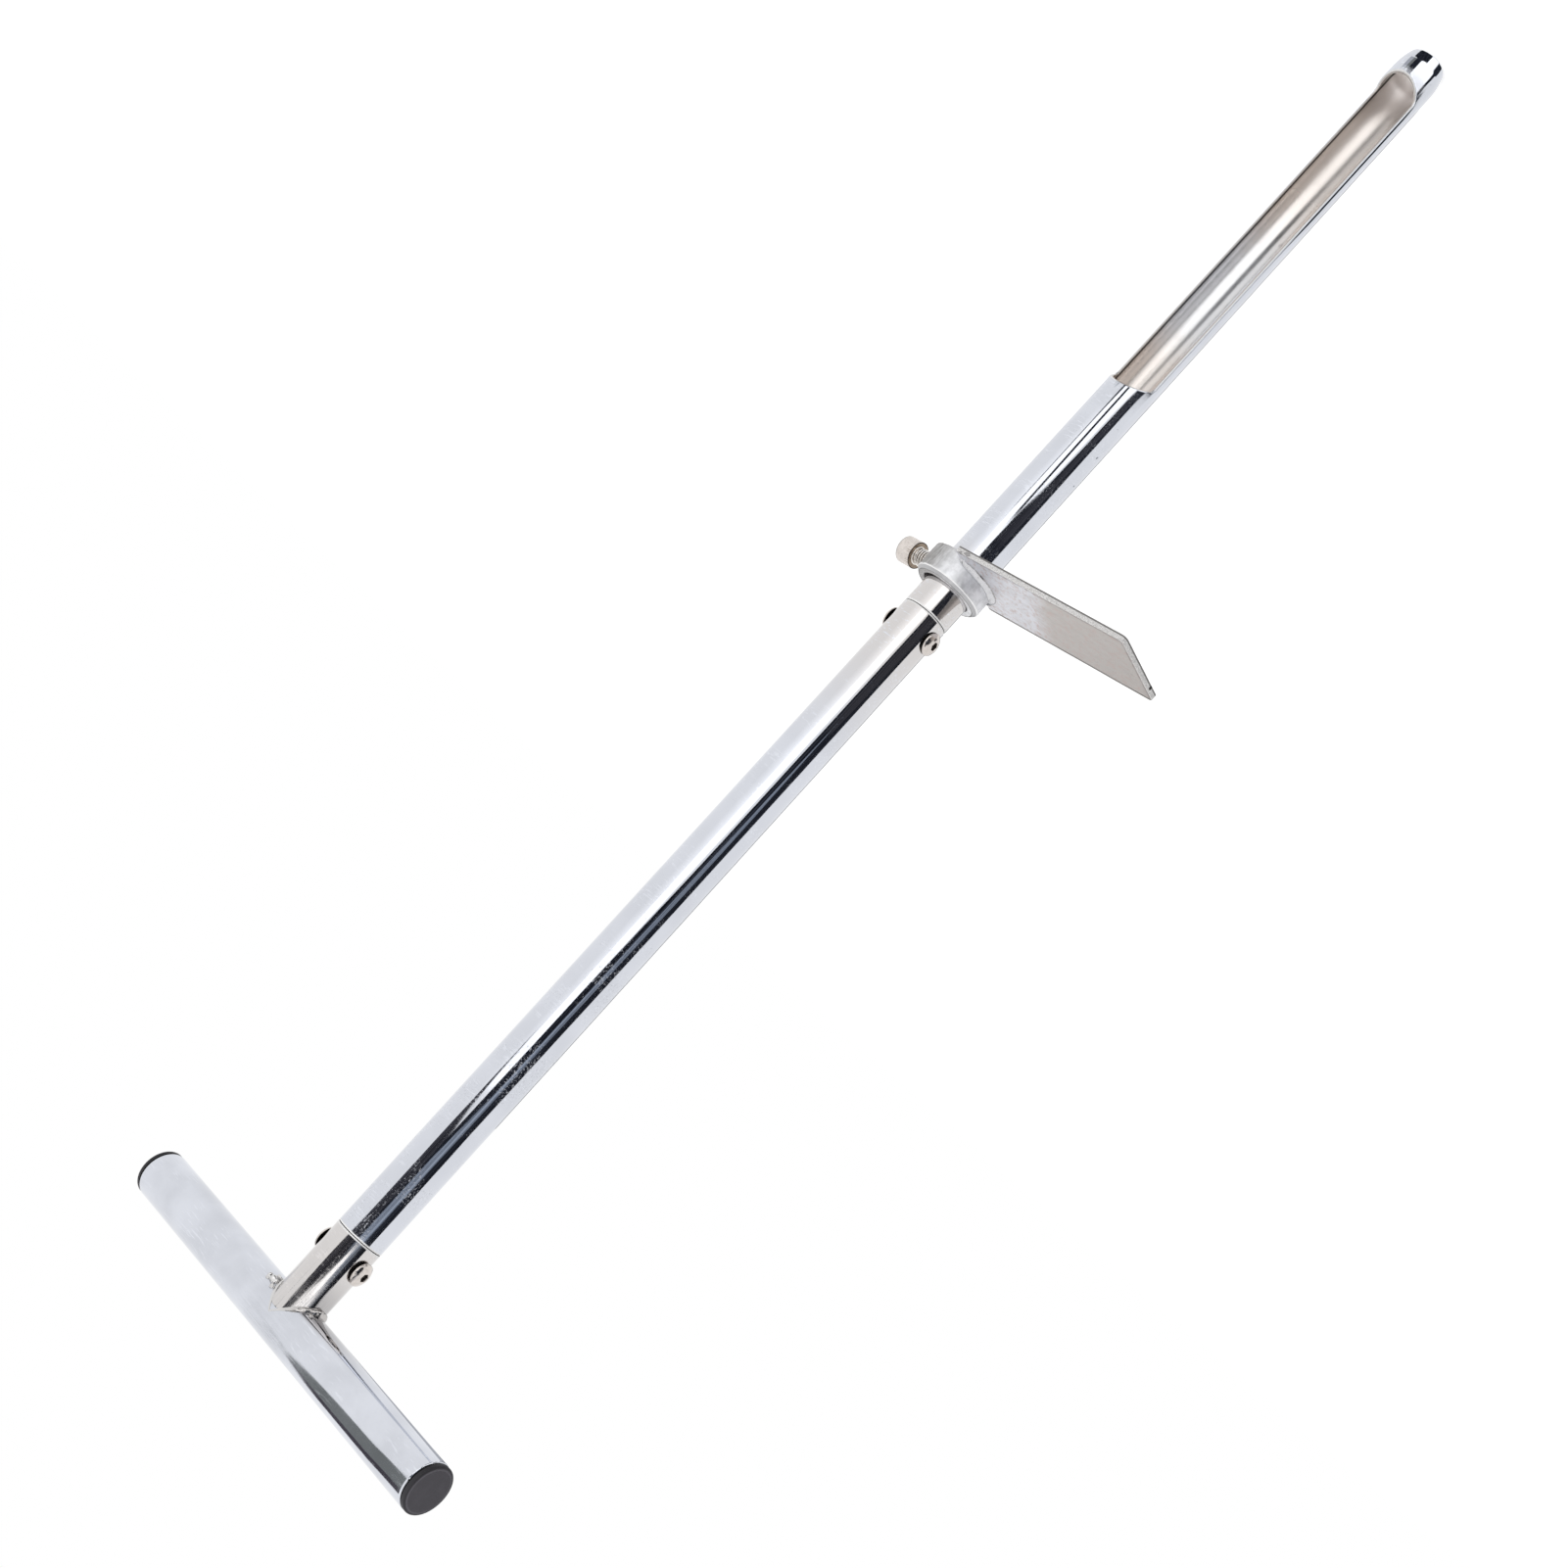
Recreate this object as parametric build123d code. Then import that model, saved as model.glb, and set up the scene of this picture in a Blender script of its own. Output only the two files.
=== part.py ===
# Push-in soil sampling probe: a T handle, a plain extension tube and an open-sided sampling
# tube, joined end to end over inner spigots, with a clamped footrest that slides on the tube.
# Millimetres. The probe stands on its mouth with +Z up the tube to the handle. +X is the
# front, where the footrest plate points. The handle bar runs along X. The origin is the
# centre of the cutting mouth.
import os
from math import acos, cos, degrees, radians, sin, sqrt, tan

from build123d import *

# Tubes
TUBE_OD = 25.4
TUBE_WALL = 1.65
TUBE_END_BREAK = 0.4       # chamfer on the outer edge of each tube end

# Lengths along the probe, from the mouth up
SAMPLING_LENGTH = 392.5    # mouth to lower joint
EXTENSION_LENGTH = 396.0   # lower joint to upper joint
STEM_LENGTH = 49.5         # upper joint to the axis of the handle bar

# Handle
BAR_LENGTH = 241.0
STEM_MOUTH_TRIM = 3.0      # thin tips of the stem's fish mouth end this far under the bar's axis
HANDLE_WELD_R = 2.3        # section radius of the bead between stem and bar
HANDLE_WELD_KNOT = 0.2     # the bead is this much thicker where its two halves meet
WELD_SEAT_GAP = 0.02       # beads to the round faces that they lie on
CAP_FLANGE = 3.0           # thickness outside the bar
CAP_FLANGE_STEP = 0.2      # flange radius is this much under the bar's
CAP_FLANGE_ROUND = 1.1
CAP_PLUG_LENGTH = 14.0
CAP_PLUG_WALL = 2.0
CAP_PLUG_PLAY = 0.1        # radial

# Take-apart joints
SPIGOT_LENGTH = 50.0       # half in the tube below the joint, half in the tube above
SPIGOT_WALL = 5.0
SPIGOT_PLAY = 0.05         # radial
SPIGOT_END_BREAK = 0.8
UPPER_SCREW_RISE = 11.15   # screw axis above the upper joint line
LOWER_SCREW_RISE = 9.95    # the same at the lower joint
UPPER_FRONT_LIFT = 0.9     # the upper front screw isn't run home
JOINT_SCREW_AZIMUTH = -8.0 # degrees, the front screws' turn from +X
JOINT_SCREW_OD = 6.3
JOINT_SCREW_LENGTH = 8.0
JOINT_SCREW_PLAY = 0.05    # radial, in the spigot's thread
TUBE_HOLE_PLAY = 0.35      # radial, in the tube's clearance hole
JOINT_HEAD_OD = 12.2
JOINT_HEAD_HEIGHT = 3.45
JOINT_HEAD_RIM = 1.1       # height of the straight rim under the dome
JOINT_HEX = 4.0            # across flats
JOINT_HEX_DEPTH = 2.2
HEAD_SEAT_GAP = 0.02       # flat underside of the head to the crest of the tube

# Sampling tube
MOUTH_TAPER_LENGTH = 13.0
MOUTH_TAPER = 1.9          # the outside is drawn in by this much at the mouth
MOUTH_WALL = 1.2
MOUTH_EDGE_BEVEL = 0.6     # outer bevel of the cutting edge
MOUTH_LAND = 5.0           # straight bore at the mouth
MOUTH_RELIEF_LENGTH = 8.0  # bore opens out to the full tube above the land
WINDOW_AZIMUTH = 84.5      # degrees from +X towards +Y, the way the window faces
WINDOW_BOTTOM = 16.8       # on the tube's surface
WINDOW_TOP = 241.5         # on the tube's surface
WINDOW_FLOOR = 1.85        # flat of the cut, from the tube's axis
WINDOW_BOTTOM_SLOPE = 37.5 # degrees, the way the end face runs in from square
WINDOW_TOP_SLOPE = 37.5
WINDOW_CORNER_R = 4.0

# Footrest
FOOTREST_DROP = 16.0       # lower joint down to the top of the collar
COLLAR_HEIGHT = 15.5
COLLAR_PLAY = 1.0          # radial, between the bore and the tube
COLLAR_SEAT_GAP = 0.3      # left at the front, where the clamp pulls the bore on to the tube
COLLAR_WALL = 5.3
COLLAR_TOP_CHAMFER = 1.7
COLLAR_EDGE_BREAK = 0.5
PLATE_THICKNESS = 3.0
PLATE_WIDTH = 49.4
PLATE_REACH = 117.2        # tube axis to the front edge
PLATE_EAR = 7.0            # tube axis to the rear edge, beside the collar
PLATE_CORNER_R = 3.0
PLATE_EAR_CORNER_R = 1.2
PLATE_EDGE_ROUND = 0.5
PLATE_NOTCH_GAP = 0.05
FOOTREST_WELD_LEG = 2.5
FOOTREST_WELD_INSET = 0.8  # bead stops this far short of the plate's rear edge

# Clamp screw
CLAMP_RISE = 5.7           # axis above the underside of the collar
CLAMP_OD = 9.4
CLAMP_PLAY = 0.05          # radial, in the collar's thread
CLAMP_TIP_GAP = 0.25       # end of the screw to the tube
CLAMP_TIP_BREAK = 0.8
CLAMP_LENGTH = 16.9        # under the head
CLAMP_HEAD_OD = 14.25
CLAMP_HEAD_LENGTH = 9.4
CLAMP_HEAD_BREAK = 0.7
CLAMP_HEX = 7.9            # across flats
CLAMP_HEX_DEPTH = 4.8

# Radii, heights and places that follow
TUBE_R = TUBE_OD / 2
BORE_R = TUBE_R - TUBE_WALL
LOWER_JOINT = SAMPLING_LENGTH
UPPER_JOINT = LOWER_JOINT + EXTENSION_LENGTH
LOWER_SCREWS = LOWER_JOINT + LOWER_SCREW_RISE
UPPER_SCREWS = UPPER_JOINT + UPPER_SCREW_RISE
BAR_HEIGHT = UPPER_JOINT + STEM_LENGTH
SPIGOT_R = BORE_R - SPIGOT_PLAY
TIP_R = TUBE_R - MOUTH_TAPER
MOUTH_R = TIP_R - MOUTH_WALL
COLLAR_BORE_R = TUBE_R + COLLAR_PLAY
COLLAR_R = COLLAR_BORE_R + COLLAR_WALL
COLLAR_TOP = LOWER_JOINT - FOOTREST_DROP
COLLAR_BOTTOM = COLLAR_TOP - COLLAR_HEIGHT
COLLAR_X = COLLAR_SEAT_GAP - COLLAR_PLAY
PLATE_TOP = COLLAR_BOTTOM + PLATE_THICKNESS
CLAMP_HEIGHT = COLLAR_BOTTOM + CLAMP_RISE
REAR = 180                 # azimuth, degrees

UPRIGHT = (Align.CENTER, Align.CENTER, Align.MIN)


def rod(radius, bottom, top):
    """Solid round bar on the Z axis between two heights."""
    return Pos(0, 0, bottom) * Cylinder(radius, top - bottom, align=UPRIGHT)


def tube(bottom, top):
    """Length of the probe's tube on the Z axis, with both outer end edges broken."""
    blank = rod(TUBE_R, bottom, top)
    blank = chamfer(blank.edges().filter_by(GeomType.CIRCLE), TUBE_END_BREAK)
    return blank - rod(BORE_R, bottom, top)


def outward(shape, azimuth, height):
    """Turn a shape drawn along +Z so that it points out from the tube's axis."""
    return Pos(0, 0, height) * Rot(0, 0, azimuth) * Rot(0, 90, 0) * shape


def joint_screw_holes(height, radius):
    """The two opposite cross holes of a joint, as one cutter through the tube."""
    return outward(Cylinder(radius, 2 * TUBE_OD), JOINT_SCREW_AZIMUTH, height)


def hex_socket(across_flats, depth, face):
    """Hexagonal pocket sunk from a face at a given height."""
    flats = RegularPolygon(across_flats / 2, 6, major_radius=False)
    return Pos(0, 0, face - depth) * extrude(flats, depth)


def turned(outline):
    """Solid of revolution about Z from a closed outline in the XZ plane."""
    return revolve(make_face(Plane.XZ * outline), Axis.Z)


def on_bar(shape):
    """Move a shape drawn along Z at the origin on to the axis of the handle bar."""
    return Pos(0, 0, BAR_HEIGHT) * Rot(0, 90, 0) * shape


def handle_bar():
    return on_bar(tube(-BAR_LENGTH / 2, BAR_LENGTH / 2))


def bar_envelope(gap=0):
    return on_bar(Cylinder(TUBE_R + gap, BAR_LENGTH))


def handle_stem():
    """Stub under the bar, its top cut to a fish mouth that fits the bar."""
    stub = tube(UPPER_JOINT, BAR_HEIGHT)
    tips = rod(TUBE_OD, BAR_HEIGHT - STEM_MOUTH_TRIM, BAR_HEIGHT)
    holes = joint_screw_holes(UPPER_SCREWS, JOINT_SCREW_OD / 2 + TUBE_HOLE_PLAY)
    return stub - bar_envelope() - tips - holes


def handle_weld():
    """Bead along the saddle line where two equal round tubes meet square."""
    crossing = Pos(0, 0, BAR_HEIGHT)
    bead = Part()
    for side in (-1, 1):
        # Each half of the line is half an ellipse in a plane at 45 degrees.
        slanted = Plane(origin=(0, 0, 0), x_dir=(0, 1, 0), z_dir=(side, 0, 1))
        across = slanted.y_dir
        start_angle = -180 if across.Z > 0 else 0
        line = Edge.make_ellipse(
            TUBE_R, TUBE_R * sqrt(2), slanted, start_angle, start_angle + 180
        )
        section = Plane(line @ 0, z_dir=line % 0) * Circle(HANDLE_WELD_R)
        knot = Pos(0, side * TUBE_R, 0) * Sphere(HANDLE_WELD_R + HANDLE_WELD_KNOT)
        bead += sweep(section, line)
        bead += knot
    stem_envelope = rod(TUBE_R + WELD_SEAT_GAP, UPPER_JOINT, BAR_HEIGHT)
    return crossing * bead - bar_envelope(WELD_SEAT_GAP) - stem_envelope


def end_cap(side):
    """Plastic plug for one end of the handle bar, with a domed flange outside."""
    plug_r = BORE_R - CAP_PLUG_PLAY
    flange = rod(TUBE_R - CAP_FLANGE_STEP, 0, CAP_FLANGE)
    front_edge = flange.edges().filter_by(GeomType.CIRCLE).sort_by(Axis.Z)[-1]
    cap = fillet(front_edge, CAP_FLANGE_ROUND) + rod(plug_r, -CAP_PLUG_LENGTH, 0)
    cap -= rod(plug_r - CAP_PLUG_WALL, -CAP_PLUG_LENGTH, 0)
    return Pos(0, 0, BAR_HEIGHT) * Rot(0, side * 90, 0) * Pos(0, 0, BAR_LENGTH / 2) * cap


def spigot(joint, screws):
    """Inner sleeve that carries two tubes across a joint."""
    half = SPIGOT_LENGTH / 2
    sleeve = rod(SPIGOT_R, joint - half, joint + half)
    sleeve = chamfer(sleeve.edges().filter_by(GeomType.CIRCLE), SPIGOT_END_BREAK)
    sleeve -= rod(SPIGOT_R - SPIGOT_WALL, joint - half, joint + half)
    return sleeve - joint_screw_holes(screws, JOINT_SCREW_OD / 2 + JOINT_SCREW_PLAY)


def joint_screw(height, azimuth, lift=0):
    """Button-head socket screw through the tube into the spigot."""
    head_r = JOINT_HEAD_OD / 2
    rim = (head_r, JOINT_HEAD_RIM)
    crown = (0, JOINT_HEAD_HEIGHT)
    outline = Polyline(crown, (0, 0), (head_r, 0), rim)
    dome = TangentArc(crown, rim, tangent=(1, 0))
    screw = turned(outline + dome) + rod(JOINT_SCREW_OD / 2, -JOINT_SCREW_LENGTH, 0)
    screw -= hex_socket(JOINT_HEX, JOINT_HEX_DEPTH, JOINT_HEAD_HEIGHT)
    seat = TUBE_R + HEAD_SEAT_GAP + lift
    return outward(Pos(0, 0, seat) * screw, azimuth, height)


def extension_tube():
    holes = joint_screw_holes(LOWER_SCREWS, JOINT_SCREW_OD / 2 + TUBE_HOLE_PLAY)
    return tube(LOWER_JOINT, UPPER_JOINT) - holes


def window_cutter():
    """Prism that opens the side of the sampling tube, with sloping ends."""
    facing = radians(WINDOW_AZIMUTH)
    across = (sin(facing), -cos(facing), 0)
    side_view = Plane((0, 0, 0), x_dir=(cos(facing), sin(facing), 0), z_dir=across)
    bottom_run = tan(radians(WINDOW_BOTTOM_SLOPE))
    top_run = tan(radians(WINDOW_TOP_SLOPE))
    depth = TUBE_R - WINDOW_FLOOR
    floor_low = (WINDOW_FLOOR, WINDOW_BOTTOM + depth * bottom_run)
    floor_high = (WINDOW_FLOOR, WINDOW_TOP - depth * top_run)
    outside_low = (TUBE_OD, WINDOW_BOTTOM - TUBE_R * bottom_run)
    outside_high = (TUBE_OD, WINDOW_TOP + TUBE_R * top_run)
    profile = make_face(Polyline(floor_low, outside_low, outside_high, floor_high, close=True))
    floor_corners = profile.vertices().sort_by(Axis.X)[:2]
    profile = fillet(floor_corners, WINDOW_CORNER_R)
    return extrude(side_view * profile, TUBE_R, both=True)


def sampling_tube():
    """Tube with a drawn-in cutting mouth and a long side window."""
    shoulder = (TUBE_R, MOUTH_TAPER_LENGTH)
    edge = (TIP_R, MOUTH_EDGE_BEVEL)
    top = SAMPLING_LENGTH
    outside = TangentArc(shoulder, edge, tangent=(0, -1))
    rest = Polyline(
        edge,
        (TIP_R - MOUTH_EDGE_BEVEL, 0),
        (MOUTH_R, 0),
        (MOUTH_R, MOUTH_LAND),
        (BORE_R, MOUTH_LAND + MOUTH_RELIEF_LENGTH),
        (BORE_R, top),
        (TUBE_R - TUBE_END_BREAK, top),
        (TUBE_R, top - TUBE_END_BREAK),
        shoulder,
    )
    return turned(outside + rest) - window_cutter()


def on_collar(shape):
    """Move a shape drawn on the Z axis to the axis of the footrest collar."""
    return Pos(COLLAR_X, 0, 0) * shape


def footrest_collar():
    """Ring with a threaded hole at the rear, pulled on to the tube at the front."""
    ring = rod(COLLAR_R, COLLAR_BOTTOM, COLLAR_TOP)
    upper_edge = ring.edges().filter_by(GeomType.CIRCLE).sort_by(Axis.Z)[-1]
    ring = chamfer(upper_edge, COLLAR_TOP_CHAMFER)
    lower_edge = ring.edges().filter_by(GeomType.CIRCLE).sort_by(Axis.Z)[0]
    ring = chamfer(lower_edge, COLLAR_EDGE_BREAK)
    ring -= rod(COLLAR_BORE_R, COLLAR_BOTTOM, COLLAR_TOP)
    thread = Cylinder(CLAMP_OD / 2 + CLAMP_PLAY, 2 * COLLAR_R, align=UPRIGHT)
    return on_collar(ring) - outward(thread, REAR, CLAMP_HEIGHT)


def footrest_plate():
    """Flat step with round corners, notched round the front of the collar."""
    length = PLATE_REACH - PLATE_EAR
    middle = (PLATE_EAR + length / 2, 0, COLLAR_BOTTOM)
    plate = Pos(*middle) * Box(length, PLATE_WIDTH, PLATE_THICKNESS, align=UPRIGHT)
    uprights = plate.edges().filter_by(Axis.Z).sort_by(Axis.X)
    plate = fillet(uprights[2:], PLATE_CORNER_R)
    uprights = plate.edges().filter_by(Axis.Z).sort_by(Axis.X)
    plate = fillet(uprights[:2], PLATE_EAR_CORNER_R)
    rims = plate.faces().filter_by(Axis.Z).edges()
    plate = fillet(rims, PLATE_EDGE_ROUND)
    return plate - on_collar(rod(COLLAR_R + PLATE_NOTCH_GAP, COLLAR_BOTTOM, PLATE_TOP))


def footrest_weld():
    """Fillet bead in the corner between the top of the plate and the collar."""
    heel = COLLAR_R + WELD_SEAT_GAP
    toe = heel + FOOTREST_WELD_LEG
    crest = PLATE_TOP + FOOTREST_WELD_LEG
    legs = Polyline((heel, crest), (heel, PLATE_TOP), (toe, PLATE_TOP))
    face = RadiusArc((toe, PLATE_TOP), (heel, crest), -2 * FOOTREST_WELD_LEG)
    section = make_face(Plane.XZ * (legs + face))
    half_span = degrees(acos((PLATE_EAR + FOOTREST_WELD_INSET - COLLAR_X) / toe))
    bead = revolve(section, Axis.Z, 2 * half_span)
    return on_collar(Rot(0, 0, -half_span) * bead)


def clamp_screw():
    """Socket-head screw that presses on the rear of the tube."""
    shank = rod(CLAMP_OD / 2, 0, CLAMP_LENGTH)
    tip_edge = shank.edges().filter_by(GeomType.CIRCLE).sort_by(Axis.Z)[0]
    shank = chamfer(tip_edge, CLAMP_TIP_BREAK)
    head_end = CLAMP_LENGTH + CLAMP_HEAD_LENGTH
    head = rod(CLAMP_HEAD_OD / 2, CLAMP_LENGTH, head_end)
    head_edge = head.edges().filter_by(GeomType.CIRCLE).sort_by(Axis.Z)[-1]
    head = chamfer(head_edge, CLAMP_HEAD_BREAK)
    screw = shank + head - hex_socket(CLAMP_HEX, CLAMP_HEX_DEPTH, head_end)
    return outward(Pos(0, 0, TUBE_R + CLAMP_TIP_GAP) * screw, REAR, CLAMP_HEIGHT)


nodes = {
    "handle_bar": handle_bar(),
    "handle_stem": handle_stem(),
    "handle_weld": handle_weld(),
    "end_cap_front": end_cap(1),
    "end_cap_rear": end_cap(-1),
    "extension_tube": extension_tube(),
    "sampling_tube": sampling_tube(),
    "footrest_collar": footrest_collar(),
    "footrest_plate": footrest_plate(),
    "footrest_weld": footrest_weld(),
    "clamp_screw": clamp_screw(),
}
for level, joint, screws, lift in (
    ("upper", UPPER_JOINT, UPPER_SCREWS, UPPER_FRONT_LIFT), ("lower", LOWER_JOINT, LOWER_SCREWS, 0),
):
    nodes[f"{level}_spigot"] = spigot(joint, screws)
    nodes[f"{level}_joint_screw_front"] = joint_screw(screws, JOINT_SCREW_AZIMUTH, lift)
    nodes[f"{level}_joint_screw_rear"] = joint_screw(screws, JOINT_SCREW_AZIMUTH + REAR)

os.makedirs("parts", exist_ok=True)
for name, shape in nodes.items():
    export_step(shape, f"parts/{name}.step")
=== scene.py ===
# Looks of the soil sampling probe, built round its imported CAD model.
# The frame is the CAD one: +Z up the tube to the handle, +X to the front, where the footrest
# plate points, and the origin at the centre of the cutting mouth. Shapes are drawn in
# millimetres and become metres when a piece is finished.
from functools import reduce
from math import acos, asin, atan2, copysign, cos, hypot, pi, radians, sin, sqrt, tan

import bmesh
import bpy
from mathutils import Matrix, Vector, noise


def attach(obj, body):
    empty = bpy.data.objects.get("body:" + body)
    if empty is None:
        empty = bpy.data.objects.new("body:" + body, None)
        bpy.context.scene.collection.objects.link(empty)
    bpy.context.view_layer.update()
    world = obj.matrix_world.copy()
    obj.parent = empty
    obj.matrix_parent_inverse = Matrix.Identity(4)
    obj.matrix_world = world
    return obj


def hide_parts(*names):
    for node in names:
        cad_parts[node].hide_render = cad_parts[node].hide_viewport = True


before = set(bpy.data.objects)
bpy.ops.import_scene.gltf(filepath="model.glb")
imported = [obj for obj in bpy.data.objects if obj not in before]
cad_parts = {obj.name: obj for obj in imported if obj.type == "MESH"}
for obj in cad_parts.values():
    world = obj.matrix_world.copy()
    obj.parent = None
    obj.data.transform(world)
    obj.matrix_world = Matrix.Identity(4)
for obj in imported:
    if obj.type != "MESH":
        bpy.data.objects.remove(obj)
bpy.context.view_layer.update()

MM = 0.001
TOUCH = 1e-4               # points closer than this are the same

# Sizes of the CAD model
TUBE_R = 12.7
BORE_R = 11.05
LOWER_JOINT = 392.5
UPPER_JOINT = 788.5
BAR_HEIGHT = 838.0
BAR_HALF = 120.5
STEM_TOP = 835.0           # the fish mouth's tips end here
UPPER_SCREWS = UPPER_JOINT + 11.15
LOWER_SCREWS = LOWER_JOINT + 9.95
UPPER_FRONT_LIFT = 0.9     # the upper front screw isn't run home
SCREW_AZIMUTH = radians(-8)
SCREW_HEAD_R = 6.1
SCREW_HEAD_HEIGHT = 3.45
SCREW_HEAD_RIM = 1.1
SCREW_SHANK_R = 3.15
SCREW_SHANK_LENGTH = 8.0
SCREW_HEX = 4.0            # across flats
TUBE_HOLE_R = 3.5
TIP_R = 10.8
MOUTH_R = 9.6
MOUTH_BEVEL = 0.6
MOUTH_LAND = 5.0
MOUTH_TAPER = 13.0
WINDOW_AZIMUTH = radians(84.5)
WINDOW_BOTTOM = 16.8
WINDOW_TOP = 241.5
WINDOW_FLOOR = 1.85
WINDOW_SLOPE = radians(37.5)
WINDOW_CORNER_R = 4.0
COLLAR_X = -0.7
COLLAR_R = 19.0
COLLAR_BORE_R = 13.7
COLLAR_BOTTOM = 361.0
COLLAR_TOP = 376.5
PLATE_TOP = 364.0
PLATE_HALF_WIDTH = 24.7
PLATE_REACH = 117.2
PLATE_EAR = 7.0
PLATE_CORNER_R = 3.0
CLAMP_HEIGHT = 366.7
CLAMP_R = 4.7
CLAMP_TIP = 12.95          # distances out from the tube's axis
CLAMP_NECK = 29.85
CLAMP_END = 39.25
CLAMP_HEX = 7.9
SEAT_GAP = 0.02            # between a piece and what it sits on

# Sizes of the drawn shapes alone
CLAMP_HEAD_R = 7.1         # hardly less than in the CAD model
CAP_FACE_R = 11.0          # flat face of the end caps
END_ROUND = 0.7            # rounding of the tubes' ends, outside
BORE_END_ROUND = 0.25
WINDOW_ROLL = 0.35         # rounding of the window's edges

# Mesh detail
AROUND = 128               # faces round a tube
ROUND_STEPS = 4            # faces in a rounded edge
SUPPORT = 0.6              # extra ring beside a rounded edge, in edge radii
SHARP = radians(40)        # edges that turn more than this stay sharp
HOLE_COLUMNS = 8           # half the width of the patch round a cross hole, in faces
HOLE_REACH = HOLE_COLUMNS * 2 * pi * TUBE_R / AROUND


# Mesh building

def ramp(value, low, high):
    """0 up to a low value, 1 from a high value on, and even between them."""
    return min(1.0, max(0.0, (value - low) / (high - low)))


def bridge(bm, first, second, material=0):
    """Faces between two rings of vertices. A ring of one vertex closes to a point."""
    count = max(len(first), len(second))
    for i in range(count):
        j = (i + 1) % count
        corners = [first[i % len(first)], first[j % len(first)]]
        corners += [second[j % len(second)], second[i % len(second)]]
        face = bm.faces.new(list(dict.fromkeys(corners)))
        face.material_index = material


def strip(bm, low, high, material=0):
    """Faces between two open rows of vertices."""
    for i in range(len(low) - 1):
        corners = dict.fromkeys([low[i], low[i + 1], high[i + 1], high[i]])
        bm.faces.new(list(corners)).material_index = material


def lathe(bm, profile, count, wrap=False):
    """Surface turned about Z from (radius, height) points. Returns its rings of vertices."""
    rings = []
    for radius, height in profile:
        steps = count if radius > TOUCH else 1
        turns = [2 * pi * i / count for i in range(steps)]
        rings.append([bm.verts.new((radius * cos(a), radius * sin(a), height)) for a in turns])
    for lower, upper in zip(rings, rings[1:]):
        bridge(bm, lower, upper)
    if wrap:
        bridge(bm, rings[-1], rings[0])
    return rings


def between(start, end, share):
    """Unit direction part of the way round from one unit direction to another."""
    turn = start.angle(end)
    return (start * sin((1 - share) * turn) + end * sin(share * turn)) / sin(turn)


def rounded(corners, closed=True):
    """Points along an outline of (radius, height, edge radius) corners, each edge rounded."""
    points = []
    last = len(corners) - 1
    for i, (radius, height, edge) in enumerate(corners):
        here = Vector((radius, height))
        if edge == 0 or (not closed and i in (0, last)):
            points.append(here)
            continue
        back = (Vector(corners[i - 1][:2]) - here).normalized()
        on = (Vector(corners[(i + 1) % len(corners)][:2]) - here).normalized()
        half = back.angle(on) / 2
        reach = edge / tan(half)
        centre = here + (back + on).normalized() * edge / sin(half)
        start = (here + back * reach - centre).normalized()
        end = (here + on * reach - centre).normalized()
        points.append(here + back * (reach + SUPPORT * edge))
        for step in range(ROUND_STEPS + 1):
            points.append(centre + between(start, end, step / ROUND_STEPS) * edge)
        points.append(here + on * (reach + SUPPORT * edge))
    return points


def divided(points, heights, longest=8.0):
    """Closed outline with more points on its upright runs: at the heights, and no gap too long."""
    out = []
    for a, b in zip(points, points[1:] + points[:1]):
        out.append(a)
        if abs(a.x - b.x) > TOUCH:
            continue
        low, high = min(a.y, b.y), max(a.y, b.y)
        stops = [low] + sorted(h for h in heights if low + TOUCH < h < high - TOUCH) + [high]
        inner = list(stops[1:-1])
        for s, e in zip(stops, stops[1:]):
            parts = int((e - s) // longest) + 1
            inner += [s + (e - s) * k / parts for k in range(1, parts)]
        inner.sort(reverse=b.y < a.y)
        out += [Vector((a.x, h)) for h in inner]
    return out


def hole_heights(height, reach):
    """Heights of the rings that a cross hole's patch needs."""
    return [height + reach * k / HOLE_COLUMNS for k in range(-HOLE_COLUMNS, HOLE_COLUMNS + 1)]


def drill(bm, rings, azimuths, height, reach, sizes, lift=0.0):
    """Cross holes through a turned wall, with a fan of faces round each.

    sizes holds (radius of the wall's face, radius of the hole there) for both faces. The patch
    of faces that a hole takes is as high as twice the reach, and its middle lies above the
    hole's by the lift.
    """
    count = len(rings[0])
    walls = []
    for wall, hole in sizes:
        rows = []
        for ring in rings:
            place = ring[0].co
            past = abs(place.z - height - lift)
            if abs(hypot(place.x, place.y) - wall) < TOUCH and past < reach + TOUCH:
                rows.append(ring)
        rows.sort(key=lambda ring: ring[0].co.z)
        walls.append((wall, hole, rows))
    span = range(-HOLE_COLUMNS, HOLE_COLUMNS + 1)
    for azimuth in azimuths:
        middle = round(azimuth / (2 * pi) * count)
        mouths = []
        for wall, hole, rows in walls:
            block = [[row[(middle + c) % count] for c in span] for row in rows]
            inside = {v for row in block for v in row}
            gone = {f for v in inside for f in v.link_faces if all(u in inside for u in f.verts)}
            patch = block[0][:-1] + [row[-1] for row in block[:-1]]
            patch += block[-1][:0:-1] + [row[0] for row in block[:0:-1]]
            mouth = []
            for v in patch:
                off = (atan2(v.co.y, v.co.x) - azimuth + pi) % (2 * pi) - pi
                turn = atan2(v.co.z - height, wall * off)
                a = azimuth + asin(hole * cos(turn) / wall)
                mouth.append(bm.verts.new((wall * cos(a), wall * sin(a), height + hole * sin(turn))))
            bmesh.ops.delete(bm, geom=list(gone), context="FACES")
            bridge(bm, patch, mouth)
            mouths.append(mouth)
        bridge(bm, *mouths)


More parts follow.
